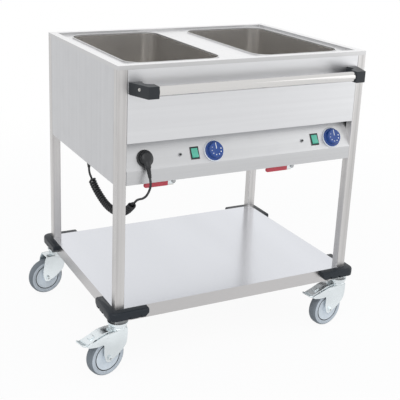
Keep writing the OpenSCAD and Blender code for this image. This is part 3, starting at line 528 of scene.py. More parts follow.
class Bench:
    """The modelling steps that the pieces share, each done with Blender's own operators."""

    @staticmethod
    def clear() -> None:
        """Leaves edit mode and selects nothing."""
        if bpy.context.object and bpy.context.object.mode != "OBJECT":
            bpy.ops.object.mode_set(mode="OBJECT")
        bpy.ops.object.select_all(action="DESELECT")

    @staticmethod
    def pick(piece: bpy.types.Object) -> None:
        """Makes a piece the only one selected, and the active one.

        Args:
            piece: The piece.
        """
        Bench.clear()
        piece.select_set(True)
        bpy.context.view_layer.objects.active = piece

    @staticmethod
    def loft(name: str, rings: Sequence[Ring], ends: Ends = Ends.CAPPED,
             skins: Sequence[int] = ()) -> bpy.types.Object:
        """Draws a circle out through rings of points.

        Args:
            name: The piece's name.
            rings: Rings of points in metres, each with as many points as the first.
            ends: What closes the ends.
            skins: The material's number for each band between two rings.

        Returns:
            The new piece.
        """
        Bench.clear()
        bpy.ops.mesh.primitive_circle_add(vertices=len(rings[0]), radius=0.01)
        piece = bpy.context.active_object
        piece.name = piece.data.name = name
        bpy.ops.object.mode_set(mode="EDIT")
        mesh = bmesh.from_edit_mesh(piece.data)
        spoke = mesh.verts.layers.int.new("spoke")
        for index, vertex in enumerate(mesh.verts):
            vertex[spoke] = index
            vertex.co = rings[0][index]
        bmesh.update_edit_mesh(piece.data)
        for band, ring in enumerate(rings[1:]):
            bpy.ops.mesh.extrude_edges_indiv()
            mesh = bmesh.from_edit_mesh(piece.data)
            spoke = mesh.verts.layers.int["spoke"]
            for vertex in [v for v in mesh.verts if v.select]:
                vertex.co = ring[vertex[spoke]]
                for face in vertex.link_faces:
                    face.material_index = skins[band] if skins else 0
            bmesh.update_edit_mesh(piece.data)
        if ends is Ends.CAPPED:
            bpy.ops.mesh.select_all(action="SELECT")
            bpy.ops.mesh.fill_holes(sides=0)
        elif ends is Ends.JOINED:
            bpy.ops.mesh.select_all(action="DESELECT")
            bpy.ops.mesh.select_non_manifold()
            bpy.ops.mesh.bridge_edge_loops()
            bpy.ops.mesh.select_all(action="SELECT")
        bpy.ops.mesh.normals_make_consistent(inside=False)
        mesh = bmesh.from_edit_mesh(piece.data)
        mesh.verts.layers.int.remove(mesh.verts.layers.int["spoke"])
        bmesh.update_edit_mesh(piece.data)
        bpy.ops.object.mode_set(mode="OBJECT")
        return piece

    @staticmethod
    def turned(name: str, profile: Outline, place: Matrix, sides: int = 48, ends: Ends = Ends.CAPPED,
               skins: Sequence[int] = ()) -> bpy.types.Object:
        """Turns a profile of (radius, height) about the local Z axis.

        Args:
            name: The piece's name.
            profile: The radii and heights in millimetres.
            place: Where the piece stands.
            sides: The number of sides of the round.
            ends: What closes the ends.
            skins: The material's number for each band.

        Returns:
            The new piece.
        """
        ways = [(math.cos(math.tau * k / sides), math.sin(math.tau * k / sides)) for k in range(sides)]
        rings = [[place @ Vector((r * c, r * s, z)) for c, s in ways] for r, z in profile]
        return Bench.loft(name, rings, ends, skins)

    @staticmethod
    def plate(name: str, outline: Outline, low: float, high: float, place: Matrix,
              soft: float = 0.0, segments: int = 2, angle: float = 32.0) -> bpy.types.Object:
        """Draws a flat outline out to a thickness and rounds its edges.

        Args:
            name: The piece's name.
            outline: Its corners in local X and Y.
            low: Its lower face.
            high: Its upper face.
            place: Where it stands.
            soft: The radius of its edges.
            segments: The steps in that radius.
            angle: The least angle that is rounded, in degrees.

        Returns:
            The new piece.
        """
        rings = [[place @ Vector((x, y, z)) for x, y in outline] for z in (low, high)]
        piece = Bench.loft(name, rings)
        return Bench.soften(piece, soft, segments, angle) if soft else piece

    @staticmethod
    def soften(piece: bpy.types.Object, width: float, segments: int = 2,
               angle: float = 32.0) -> bpy.types.Object:
        """Rounds a piece's edges.

        Args:
            piece: The piece.
            width: The radius of its edges in millimetres.
            segments: The steps in that radius.
            angle: The least angle that is rounded, in degrees.

        Returns:
            The piece.
        """
        Bench.pick(piece)
        bpy.ops.object.modifier_add(type="BEVEL")
        bevel = piece.modifiers[-1]
        bevel.width, bevel.segments = width * MM, segments
        bevel.limit_method, bevel.angle_limit = "ANGLE", math.radians(angle)
        bpy.ops.object.modifier_apply(modifier=bevel.name)
        return piece

    @staticmethod
    def cut(piece: bpy.types.Object, tool: bpy.types.Object) -> bpy.types.Object:
        """Cuts a tool's shape out of a piece and takes the tool away.

        Args:
            piece: The piece.
            tool: The shape to cut out.

        Returns:
            The piece.
        """
        Bench.pick(piece)
        bpy.ops.object.modifier_add(type="BOOLEAN")
        boolean = piece.modifiers[-1]
        boolean.operation, boolean.object, boolean.solver = "DIFFERENCE", tool, "EXACT"
        bpy.ops.object.modifier_apply(modifier=boolean.name)
        Bench.pick(tool)
        bpy.ops.object.delete()
        return piece

    @staticmethod
    def joined(name: str, parts: Sequence[bpy.types.Object]) -> bpy.types.Object:
        """Makes one piece of several that touch.

        Args:
            name: The piece's name.
            parts: The parts, of which the first stays.

        Returns:
            The piece.
        """
        Bench.pick(parts[0])
        for part in parts:
            part.select_set(True)
        bpy.ops.object.join()
        parts[0].name = parts[0].data.name = name
        return parts[0]

    @staticmethod
    def dress(piece: bpy.types.Object, finishes: Sequence[bpy.types.Material], body: str, slot: str,
              nodes: Sequence[str] = (), smooth: float = 35.0) -> bpy.types.Object:
        """Gives a piece its materials and its body, and lets it stand for nodes.

        Args:
            piece: The piece.
            finishes: Its materials, in the order of its material numbers.
            body: The body it rides on.
            slot: Not used.
            nodes: The nodes it stands for.
            smooth: The greatest angle that is shaded smooth, in degrees.

        Returns:
            The piece.
        """
        for finish in finishes:
            piece.data.materials.append(finish)
        Bench.pick(piece)
        bpy.ops.object.shade_smooth_by_angle(angle=math.radians(smooth))
        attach(piece, body)
        if nodes:
            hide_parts(*nodes)
        LOG.info("%s: %d faces", piece.name, len(piece.data.polygons))
        return piece

    @staticmethod
    def dress_node(node: str, finish: bpy.types.Material) -> None:
        """Gives a node, which keeps its solid, its material in place of its own.

        Args:
            node: The node's name.
            finish: The material.
        """
        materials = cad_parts[node].data.materials
        materials.clear()
        materials.append(finish)


def round_corners(width: float, depth: float, radius: float, steps: int) -> Outline:
    """The outline of a rectangle with round corners, counterclockwise from its right side.

    Args:
        width: Its size along X.
        depth: Its size along Y.
        radius: The radius of its corners.
        steps: The steps in a corner.

    Returns:
        The outline, about the origin.
    """
    points = []
    for quarter, (sx, sy) in enumerate(((1, 1), (-1, 1), (-1, -1), (1, -1))):
        for k in range(steps + 1):
            a = math.radians(90 * quarter + 90 * k / steps)
            points.append((sx * (width / 2 - radius) + radius * math.cos(a),
                           sy * (depth / 2 - radius) + radius * math.sin(a)))
    return points


def arc(x: float, y: float, radius: float, start: float, stop: float, steps: int = 8) -> Outline:
    """Points on an arc.

    Args:
        x: Its middle along X.
        y: Its middle along Y.
        radius: Its radius.
        start: The angle of its first point, in degrees.
        stop: The angle of its last point, in degrees.
        steps: The steps from first to last.

    Returns:
        The points.
    """
    angles = [math.radians(start + (stop - start) * k / steps) for k in range(steps + 1)]
    return [(x + radius * math.cos(a), y + radius * math.sin(a)) for a in angles]


# ---- Studio ----


@dataclass
class Studio:
    """Camera, light and the pale floor. Places are metres, angles degrees."""

    stand: Point = (-1.25953, -2.33729, 1.37918)
    yaw: float = -25.61
    pitch: float = -17.57
    roll: float = 1.65
    picture: float = 400.0  # side of the picture, in pixels
    focal: float = 814.6  # focal length, in pixels
    middle: tuple[float, float] = (160.0, 160.0)  # the lens's axis in the picture, in pixels
    sensor: float = 36.0  # width of the sensor, in mm
    key: tuple[Point, float, float] = ((-1.6, -2.6, 3.2), 3.2, 40.0)  # the main lamp's place, side and watts
    fill: tuple[Point, float, float] = ((2.8, -1.4, 1.2), 3.2, 18.0)  # the same of the lamp on the right
    aim: Point = (0.0, 0.0, 0.5)  # where the lamps point
    fade: tuple[float, float] = (1.0, 3.0)  # distances over which the floor turns quite white

    def set_camera(self) -> None:
        """Sets up the camera at the photograph's angle."""
        yaw, pitch, roll = (math.radians(a) for a in (self.yaw, self.pitch, self.roll))
        ahead = Vector((-math.sin(yaw) * math.cos(pitch), math.cos(yaw) * math.cos(pitch), math.sin(pitch)))
        level = Vector((math.cos(yaw), math.sin(yaw), 0))
        above = level.cross(ahead)
        right = level * math.cos(roll) + above * math.sin(roll)
        above = right.cross(ahead)
        Bench.clear()
        bpy.ops.object.camera_add()
        camera = bpy.context.active_object
        camera.matrix_world = Matrix.Translation(self.stand) @ turned_to(right, above, -ahead)
        camera.data.sensor_width = self.sensor
        camera.data.lens = self.focal / self.picture * self.sensor
        camera.data.shift_x = (self.picture / 2 - self.middle[0]) / self.picture
        camera.data.shift_y = (self.middle[1] - self.picture / 2) / self.picture
        bpy.context.scene.camera = camera

    def set_light(self) -> None:
        """Sets up the white surroundings and the soft lamps."""
        world = bpy.data.worlds.new("white studio")
        bpy.context.scene.world = world
        world.use_nodes = True
        world.node_tree.nodes.clear()
        nodes = Nodes(world.node_tree)
        glow = nodes.node("ShaderNodeBackground", None, {0: (0.95, 0.97, 1.0, 1), 1: 0.7})
        back = nodes.node("ShaderNodeBackground", None, {0: (1, 1, 1, 1), 1: 1.0})
        mix = nodes.node("ShaderNodeMixShader", None,
                         {0: nodes.seen(), 1: glow.outputs[0], 2: back.outputs[0]})
        nodes.node("ShaderNodeOutputWorld", None, {0: mix.outputs[0]})
        self._lamp("key", *self.key)
        self._lamp("fill", *self.fill)

    def _lamp(self, name: str, place: Point, size: float, power: float) -> None:
        """Adds a square lamp that faces the trolley's middle.

        Args:
            name: The lamp's name.
            place: Where it hangs.
            size: Its side, in metres.
            power: Its power, in watts.
        """
        Bench.clear()
        bpy.ops.object.light_add(type="AREA", location=place)
        lamp = bpy.context.active_object
        lamp.name = name
        lamp.rotation_euler = (Vector(self.aim) - Vector(place)).to_track_quat("-Z", "Y").to_euler()
        lamp.data.size, lamp.data.energy = size, power

    def set_floor(self) -> None:
        """Lays the white floor, which keeps a faint shadow and runs into the surroundings without a line."""
        Bench.clear()
        bpy.ops.mesh.primitive_plane_add(size=40)
        floor = bpy.context.active_object
        floor.name = "floor"
        tree = ShaderTree("white floor")
        tree.paint(Base_Color=(0.92, 0.92, 0.92), Roughness=0.9, Specular_IOR_Level=0.1)
        glow = tree.node("ShaderNodeEmission", None, {"Color": (1, 1, 1, 1), "Strength": 1.0})
        reach = tree.node("ShaderNodeVectorMath", {"operation": "LENGTH"}, {0: tree.place()})
        away = Level(tree, reach.outputs["Value"]).rise(*self.fade)
        white = tree.seen() * (away * 0.07 + 0.93)
        mix = tree.node("ShaderNodeMixShader", None,
                        {0: white, 1: tree.shader.outputs[0], 2: glow.outputs[0]})
        sheet = next(n for n in tree.tree.nodes if n.type == "OUTPUT_MATERIAL")
        tree.tree.links.new(mix.outputs[0], sheet.inputs[0])
        floor.data.materials.append(tree.material)


# ---- The lead ----


@dataclass
class CurlyLead:
    """The supply lead, from its gland under the body, through its curls, to the parked plug."""

    diameter: float = 7.0
    curl_radius: float = 9.0  # to the middle of the lead
    curls: int = 30
    steps: int = 16  # steps in one curl
    length: float = 1.9  # with the curls pulled straight, in metres
    corner: Point = (-422.5, -310.0, 600.0)  # the body's lower front left corner
    gland_end: Point = (-401.5, -28.0, 572.0)
    plug_end: Point = (-329.0, -333.836, 624.516)
    # The routes are offsets from the corner.
    curl_route: Route = ((22, 266, -55), (25, 244, -77), (32, 214, -101), (40, 180, -120),
                         (49, 144, -128), (58, 108, -124), (66, 74, -105), (74, 44, -74))
    lead_route: Route = ((21, 280, -39), (21, 274, -48))
    tail_route: Route = ((77, 30, -60), (80, 16, -52), (83, 1, -45), (87, -15, -32),
                         (90, -28, -12), (92, -32, 6))

    def _at(self, offsets: Sequence[Sequence[float]]) -> Ring:
        """Points from offsets to the body's corner."""
        return [Vector(self.corner) + Vector(p) for p in offsets]

    @staticmethod
    def _smooth(route: Ring, steps: int) -> Ring:
        """A smooth curve through a route's points.

        Args:
            route: The points.
            steps: The steps between each two of them.

        Returns:
            The curve's points.
        """
        ends = [2 * route[0] - route[1], *route, 2 * route[-1] - route[-2]]
        line = []
        for a, b, c, d in zip(ends, ends[1:], ends[2:], ends[3:]):
            for k in range(steps):
                t = k / steps
                line.append(0.5 * (2 * b + (c - a) * t + (2 * a - 5 * b + 4 * c - d) * t * t
                                   + (3 * b - a - 3 * c + d) * t ** 3))
        return line + [route[-1]]

    def _curled(self) -> Ring:
        """The curls, wound about their hanging middle line.

        Returns:
            The points of the lead's axis.
        """
        middle = self._smooth(self._at(self.curl_route), 10)
        reach = [0.0]
        for a, b in zip(middle, middle[1:]):
            reach.append(reach[-1] + (b - a).length)
        whole = reach[-1]

        def point(s: float) -> Vector:
            """The point of the middle line at a distance along it.

            Args:
                s: The distance.

            Returns:
                The point.
            """
            s = max(0.0, min(whole, s))
            i = max(k for k in range(len(middle) - 1) if reach[k] <= s + 1e-9)
            return middle[i].lerp(middle[i + 1], (s - reach[i]) / (reach[i + 1] - reach[i]))

        across = (middle[-1] - middle[0]).cross(Vector((0, 0, 1))).normalized()
        last = self.curls * self.steps
        pitch = (whole - 2 * self.diameter) / last
        line = [point(0)]
        for k in range(last + 1):
            s = self.diameter + k * pitch
            way = (point(min(s + 2, whole)) - point(max(s - 2, 0))).normalized()
            t = min(1.0, min(k, last - k) / (self.steps / 2))
            a = math.tau * k / self.steps
            out = math.cos(a) * across + math.sin(a) * way.cross(across)
            line.append(point(s) + self.curl_radius * t * t * (3 - 2 * t) * out)
        return line + [point(whole)]

    def build(self, palette: Palette) -> None:
        """Lays the lead as one curve.

        Args:
            palette: The finishes.
        """
        curled = self._curled()
        first = self._smooth([Vector(self.gland_end), *self._at(self.lead_route), curled[0]], 5)
        final = self._smooth([curled[-1], *self._at(self.tail_route), Vector(self.plug_end)], 5)
        line = [p * MM for p in first[:-1] + curled + final[1:]]
        Bench.clear()
        bpy.ops.curve.primitive_nurbs_path_add()
        lead = bpy.context.active_object
        lead.name = lead.data.name = "supply_lead"
        lead.data.splines.clear()
        spline = lead.data.splines.new("POLY")
        spline.points.add(len(line) - 1)
        for point, place in zip(spline.points, line):
            point.co = (*place, 1)
        lead.data.dimensions = "3D"
        lead.data.bevel_depth = self.diameter / 2 * MM
        lead.data.bevel_resolution = 3
        lead.data.use_fill_caps = True
        lead.data.materials.append(palette.rubber)
        measured = sum((b - a).length for a, b in zip(line, line[1:]))
        LOG.info("supply lead: %.3f m", measured)
        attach(lead, "frame")
        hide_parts("cord_lead", "cord_curls", "cord_tail")


# ---- Bodywork ----


@dataclass
class Bodywork:
    """Legs, deck, panels and shelf, which keep their solids, and the drawn wells."""

    well_x: float = 213.5  # from the middle of the trolley to the middle of a well
    opening: tuple[float, float, float] = (308.0, 510.0, 50.0)  # a well's width, length and corner radius
    deck_under: float = 940.8
    floor: float = 727.0  # height of a well's floor
    fillet: float = 14.0  # radius between floor and wall
    flange: float = 9.0
    wall: float = 1.0
    drain_y: float = -225.5
    strainer: tuple[float, float] = (1.7, 4.8)  # radius of its holes and of the ring on which they stand

    def dress_sheets(self, palette: Palette) -> None:
        """Gives the folded sheets and the tubes their finishes.

        Args:
            palette: The finishes.
        """
        for corner in Corner:
            Bench.dress_node("leg_" + corner.word, palette.tube)
        for side in Side:
            Bench.dress_node("side_panel_" + side.word, palette.side)
            Bench.dress_node("heating_element_" + side.word, palette.dark_steel)
            Bench.dress_node("thermostat_" + side.word, palette.resin)
        for node, finish in (("top_deck", palette.deck), ("front_panel", palette.front),
                             ("rear_panel", palette.front), ("control_panel", palette.control),
                             ("bottom_cover", palette.side), ("lower_shelf", palette.shelf)):
            Bench.dress_node(node, finish)

    def build_well(self, palette: Palette, side: Side) -> None:
        """Draws a well whose floor runs smoothly into its walls, and pierces the strainer.

        Args:
            palette: The finishes.
            side: The side of the well.
        """
        steps = 6
        angles = [math.radians(90 * k / steps) for k in range(steps, -1, -1)]
        foot = [(-self.fillet * (1 - math.cos(a)), self.floor + self.fillet * (1 - math.sin(a)))
                for a in angles]
        under = self.deck_under - self.wall
        profile = [*foot, (0.0, self.deck_under), (self.flange, self.deck_under), (self.flange, under),
                   (self.wall, under)]
        profile += [(out + self.wall, z - self.wall * (out < -0.5 * self.fillet))
                    for out, z in reversed(foot)]
        width, depth, radius = self.opening
        place = upright() @ moved(side.value * self.well_x, 0, 0)
        rings = []
        for out, z in profile:
            outline = round_corners(width + 2 * out, depth + 2 * out, radius + out, 9)
            rings.append([place @ Vector((x, y, z)) for x, y in outline])
        piece = Bench.loft("well_bowl_" + side.word, rings)
        hole, ring = self.strainer
        for x, y in ((0.0, 0.0), *arc(0, 0, ring, 0, 300, 5)):
            spot = place @ moved(x, self.drain_y + y, self.floor - 3)
            piece = Bench.cut(piece, Bench.turned("hole", [(hole, 0.0), (hole, 6.0)], spot, 16))
        Bench.dress(piece, [palette.well], "frame", "well_steel", ["well_" + side.word])


# ---- Controls ----


@dataclass
class Slope:
    """The sloping face of the control panel."""

    front_y: float = -309.5
    foot_z: float = 641.0
    rise: float = 72.0
    run: float = 37.0
    up: float = 34.0  # from the foot of the face up to the line of the controls

    def place(self, x: float) -> Matrix:
        """A place on the line of the controls.

        Args:
            x: Its place along X.

        Returns:
            The place, with its local Z out of the face and its local Y up it.
        """
        length = math.hypot(self.rise, self.run)
        up_way = (0, self.run / length, self.rise / length)
        out_way = (0, -self.rise / length, self.run / length)
        spot = moved(x, self.front_y + self.up * up_way[1], self.foot_z + self.up * up_way[2])
        return upright() @ spot @ turned_to((1, 0, 0), up_way, out_way)


@dataclass
class Controls:
    """Knobs, switches, reset buttons and the plug's parking socket."""

    slope: Slope = field(default_factory=Slope)
    knob_x: float = 328.0  # the right knob's centre
    pitch: float = 430.0  # from knob to knob
    switch_step: float = 65.0  # from a knob to its switch
    tilt: float = 8.0  # a rocker's angle
    rocker_half: float = 10.4
    rocker_end: float = 15.0  # radius of a rocker's ends about its pivot
    dots: int = 7
    dot_ring: float = 15.5
    dot_start: float = 146.0  # angle of the first dot
    dot_step: float = 37.5
    dot_size: tuple[float, float] = (1.25, 0.14)  # radius of the first dot, and growth from dot to dot
    dock_x: float = -329.0

    def _knob_at(self, side: Side) -> float:
        """The knob's centre along X."""
        return self.knob_x - (self.pitch if side is Side.LEFT else 0.0)

    def build_knob(self, palette: Palette, side: Side) -> None:
        """Turns a knob with its pale ring, raised cap, pointer and dots.

        Args:
            palette: The finishes.
            side: The side of the knob.
        """
        place = self.slope.place(self._knob_at(side))
        profile = [(3.0, -17.0), (3.0, 3.2), (6.0, 3.2), (6.0, 0.6), (32.4, 0.6), (33.0, 1.0), (33.0, 1.8),
                   (32.4, 2.2), (29.8, 2.3), (29.8, 2.9), (29.6, 6.6), (29.1, 7.5), (28.2, 8.0), (24.6, 8.0),
                   (24.0, 8.6), (23.2, 18.2), (22.7, 19.3), (21.6, 19.9), (20.4, 20.0), (18.0, 19.6)]
        skins = [0] * 3 + [1] * 5 + [0] * 11  # 1 is the pale ring
        knob = Bench.turned("control_knob_" + side.word, profile, place, 64, skins=skins)
        pointer = [(-1.1, 3.0), (1.1, 3.0), (1.1, 21.4), (-1.1, 21.4)]
        marks = [Bench.plate("pointer", pointer, 19.0, 20.4, place, 0.2)]
        for k in range(self.dots):
            a = math.radians(self.dot_start + self.dot_step * k)
            spot = place @ moved(self.dot_ring * math.cos(a), self.dot_ring * math.sin(a), 0)
            size = self.dot_size[0] + self.dot_size[1] * k
            marks.append(Bench.turned("dot", [(size, 19.0), (size, 19.8), (size - 0.3, 20.0)], spot, 16))
        mark = Bench.joined("knob_marks_" + side.word, marks)
        body = "knob_" + side.word
        Bench.dress(knob, [palette.blue, palette.white], body, "knob_blue", ["knob_" + side.word])
        Bench.dress(mark, [palette.white], body, "knob_blue")

    def build_switch(self, palette: Palette, side: Side) -> None:
        """Makes the lit rocker in its black bezel.

        Args:
            palette: The finishes.
            side: The side of the switch.
        """
        tipped = Matrix.Rotation(math.radians(-self.tilt), 4, "X")
        place = self.slope.place(self._knob_at(side) - self.switch_step) @ moved(0, 0, -3) @ tipped @ TO_X
        half, end = self.rocker_half, self.rocker_end
        outline = [(-13.7, -6.0), *arc(0, 0, end, 204, 152, 6), (0, 5.9),
                   *arc(0, 0, end, 28, -24, 6), (13.7, -6.0)]
        rocker = Bench.plate("rocker_" + side.word, outline[::-1], -half, half, place, soft=0.7, angle=20)
        Bench.dress(rocker, [palette.green], "rocker_" + side.word, "lens_green",
                    ["switch_rocker_" + side.word])
        Bench.dress_node("switch_bezel_" + side.word, palette.black)
        Bench.dress_node("reset_button_" + side.word, palette.black)

    def build_dock(self, palette: Palette) -> None:
        """Turns the parking socket with its raised lip.

        Args:
            palette: The finishes.
        """
        place = self.slope.place(self.dock_x)
        profile = [(20.0, -36.0), (20.0, 5.0), (20.8, 6.0), (22.2, 6.0), (22.8, 5.2), (24.4, 5.0),
                   (25.5, 4.2), (26.0, 2.8), (26.0, 0.0), (21.4, 0.0), (21.4, -38.0), (1.0, -38.0),
                   (1.0, -36.0)]
        dock = Bench.turned("parking_socket", profile, place, 56, Ends.JOINED)
        Bench.dress(dock, [palette.black], "frame", "black_plastic", ["plug_dock"])
        Bench.dress_node("reset_bushes", palette.dull_zinc)


@dataclass
class MainsPlug:
    """The angled plug, parked in its socket with its neck down the slope."""

    slope: Slope = field(default_factory=Slope)
    x: float = Controls.dock_x
    axis: float = 14.0  # height of the lead's axis above the panel
    tail: float = 60.0  # distance of the plug's end down the slope
    sleeve: float = 33.0  # distance at which the ribbed sleeve starts
    rib: float = 4.4  # from rib to rib
    rib_deep: float = 1.1
    sides: int = 28

    def _necked(self, place: Matrix) -> bpy.types.Object:
        """Lofts the neck from the round body down to the ribbed sleeve round the lead.

        Args:
            place: The plug's place on the panel.

        Returns:
            The neck.
        """
        stations = [(10.0, 12.0, 8.0), (2.0, 15.5, 8.8), (-8.0, 14.5, 8.9), (-17.0, 11.6, 8.8),
                    (-25.0, 9.2, 8.6), (-31.0, 8.4, 8.3)]
        along = -self.sleeve
        while along > -self.tail + 3:
            share = (along + self.sleeve) / (self.sleeve - self.tail)
            size = 7.2 - 2.0 * share
            slim = size - self.rib_deep
            stations += [(along, size, size), (along - 0.6, slim, slim), (along - 2.0, slim, slim),
                         (along - 2.6, size - 0.2, size - 0.2)]
            along -= self.rib
        stations.append((-self.tail, 4.6, 4.6))
        turns = [math.tau * k / self.sides for k in range(self.sides)]
        rings = [[place @ Vector((wide * math.cos(a), y, self.axis + high * math.sin(a))) for a in turns]
                 for y, wide, high in stations]
        return Bench.loft("neck", rings)

    def build(self, palette: Palette) -> None:
        """Builds the plug's body, neck and pins.

        Args:
            palette: The finishes.
        """
        place = self.slope.place(self.x)
        profile = [(19.4, -14.0), (19.7, -13.4), (19.7, 7.2), (18.6, 8.0), (18.6, 10.0), (19.7, 10.8),
                   (19.5, 14.0), (18.6, 17.4), (16.8, 20.0), (14.0, 21.8), (10.0, 22.8), (5.0, 23.0)]
        parts = [Bench.turned("body", profile, place, 48), self._necked(place)]
        for x in (-9.5, 9.5):
            pin = [(2.4, -13.0), (2.4, -31.6), (1.7, -33.0)]
            parts.append(Bench.turned("pin", pin, place @ moved(x, 0, 0), 20))
        plug = Bench.joined("mains_plug", parts)
        Bench.dress(plug, [palette.black], "frame", "black_rubber", ["plug"])
        Bench.dress_node("cable_gland", palette.rubber)


# ---- Push bar and drain ----


@dataclass
class PushBar:
    """The brushed bar and the two swept brackets that hold it."""

    out: float = 389.5  # a bracket's outer edge
    front_y: float = Slope.front_y
    level: float = 886.0
    reach: float = 60.0  # from the front of the body to the bar's axis
    height: float = 35.0  # a bracket's height
    soft: float = 1.5  # its edges
    block: tuple[float, float, float] = (32.0, 45.5, 77.5)  # the front block's width, rear and front
    boss: tuple[float, float, float] = (329.5, 363.5, 16.6)  # where the boss starts and ends, and its radius
    seat: float = 15.05  # radius of its seat for the bar

    def build_bracket(self, palette: Palette, side: Side) -> None:
        """Makes a bracket: its arm and the boss round the bar's end.

        Args:
            palette: The finishes.
            side: The side of the bracket.
        """
        place = upright() @ mirrored(side) @ moved(self.out, self.front_y, self.level)
        start, stop, radius = self.boss
        wide, rear, front = self.block
        inner = stop - self.out
        outline = [(0, 0), (-0.3, -4), (-1, -8), (inner, -front), (inner - wide, -front),
                   (inner - wide, -rear), *arc(-60, -20, 26, -38, 34, 7), (-38, 0)]
        low, high, soft = -self.height / 2, self.height / 2, self.soft
        middle = Vector((-24, -38))
        rings = []
        for z, inset in ((low, soft), (low + soft, 0.0), (high - soft, 0.0), (high, soft)):
            rings.append([place @ Vector((*(Vector(p) + (middle - Vector(p)).normalized() * inset), z))
                          for p in outline])
        arm = Bench.loft("arm", rings)
        spot = upright() @ mirrored(side) @ moved(0, self.front_y - self.reach, self.level) @ TO_X
        profile = [(self.seat, start), (radius - 0.8, start), (radius, start + 1.2), (radius, stop - 4),
                   (radius - 2, stop - 1), (radius - 5, stop), (self.seat, stop)]
        boss = Bench.turned("boss", profile, spot, 48, Ends.JOINED)
        bracket = Bench.joined("bar_holder_" + side.word, [arm, boss])
        Bench.dress(bracket, [palette.bracket], "frame", "bracket_grey", ["bar_bracket_" + side.word])

    def dress_bar(self, palette: Palette) -> None:
        """Gives the bar and the screws their finishes."""
        Bench.dress_node("push_bar", palette.bar)
        Bench.dress_node("bracket_screws", palette.nickel)


@dataclass
class Drain:
    """The drain valves under the wells and their red levers."""

    well_x: float = Bodywork.well_x
    pipe_y: float = Bodywork.drain_y
    level: float = 576.0  # height of the valve's axis
    gap: float = 24.0  # from the pipe's axis to the lever's strip
    thick: float = 3.0  # the strip

    def build_lever(self, palette: Palette, side: Side) -> None:
        """Makes a lever: steel strip, stem, nut and dipped grip.

        Args:
            palette: The finishes.
            side: The side of the lever.
        """
        place = upright() @ moved(side.value * self.well_x, self.pipe_y, self.level) @ TO_Y
        body = "lever_" + side.word
        face = self.gap + self.thick
        outline = [*arc(0, 0, 9.0, -80, 80, 8), (-24, 5.0), (-24, -9.0)]
        strip = Bench.plate("strip", outline, self.gap, face, place, 0.5)
        stem = Bench.turned("stem", [(4.0, 9.5), (4.0, self.gap + 1)], place, 24)
        lever = Bench.joined("lever_strip_" + side.word, [strip, stem])
        Bench.dress(lever, [palette.zinc], body, "lever_red", ["valve_lever_" + side.word])
        profile = [(6.5, face), (6.5, face + 4.2), (5.4, face + 5)]
        nut = Bench.turned("lever_nut_" + side.word, profile, place, 6)
        Bench.dress(nut, [palette.dull_zinc], body, "lever_red", smooth=20)
        outline = [(-18, -12), (-18, 4), *arc(-90, -4, 8.0, 90, 270, 10)]
        grip = Bench.plate("lever_grip_" + side.word, outline, self.gap - 2, face + 2, place,
                           soft=2.2, segments=3)
        Bench.dress(grip, [palette.red], body, "lever_red")
        Bench.dress_node("drain_valve_" + side.word, palette.nickel)


# ---- Bumpers and castors ----


@dataclass
class Bumper:
    """A moulded bumper round a corner of the shelf."""

    half: tuple[float, float] = (422.5, 310.0)  # half the shelf's width and depth
    out: float = 25.0  # how far a bumper stands out
    arm: float = 128.0
    low: float = 181.0
    height: float = 28.0
    end_cut: float = 12.0  # how far its arms' lower ends are cut back
    nose: float = 2.5  # the slant on its ends, in plan
    bend: float = 22.0  # radius of its corner
    recess_at: tuple[float, float] = (62.0, 97.0)  # places of the recesses, from its corner
    recess_in: float = 2.0  # from its outer face to a recess's middle
    recess: tuple[float, float, float] = (5.5, 3.0, 8.5)  # half a recess's length and depth, and its height

    def _outline(self, pull: float, inset: float) -> Outline:
        """The bumper's outline in plan.

        Args:
            pull: How far its ends are drawn in.
            inset: How far its outer faces are drawn in.

        Returns:
            The outline.
        """
        (hx, hy), cut = self.half, self.nose
        ox, oy = hx + self.out - inset, hy + self.out - inset
        ex, ey = hx + self.out - self.arm + pull, hy + self.out - self.arm + pull
        return [(ex, hy), (ex, oy - cut), (ex + cut, oy),
                *arc(ox - self.bend, oy - self.bend, self.bend, 90, 0, 8),
                (ox, ey + cut), (ox - cut, ey), (hx, ey), (hx, hy)]

    def build(self, palette: Palette, corner: Corner) -> None:
        """Lofts a bumper and cuts the small recesses in its lower edge.

        Args:
            palette: The finishes.
            corner: Its corner.
        """
        sx, sy, _ = corner.value
        place = upright() @ Matrix.Diagonal((sx, sy, 1, 1))
        top = self.low + self.height
        steps = [(self.low, self.end_cut, 3.0), (self.low + 1.6, self.end_cut - 1.6, 0.4),
                 (self.low + self.end_cut, 0.0, 0.0),
                 (top - 6.0, 0.0, 0.0), (top - 2.6, 0.3, 1.0), (top - 0.7, 0.8, 3.0), (top, 1.6, 5.6)]
        rings = [[place @ Vector((x, y, z)) for x, y in self._outline(pull, inset)]
                 for z, pull, inset in steps]
        bumper = Bench.loft("corner_bumper_" + corner.word, rings)
        x, y = self.half[0] + self.out, self.half[1] + self.out
        long, deep, high = self.recess
        for reach in self.recess_at:
            for mx, my, wx, wy in ((x - reach, y - self.recess_in, long, deep),
                                   (x - self.recess_in, y - reach, deep, long)):
                box = [(mx + a * wx, my + b * wy) for a, b in ((1, 1), (-1, 1), (-1, -1), (1, -1))]
                tool = Bench.plate("recess", box, self.low - 2, self.low + high, place)
                bumper = Bench.cut(bumper, tool)
        Bench.dress(bumper, [palette.bumper], "frame", "bumper_grey", ["bumper_" + corner.word])


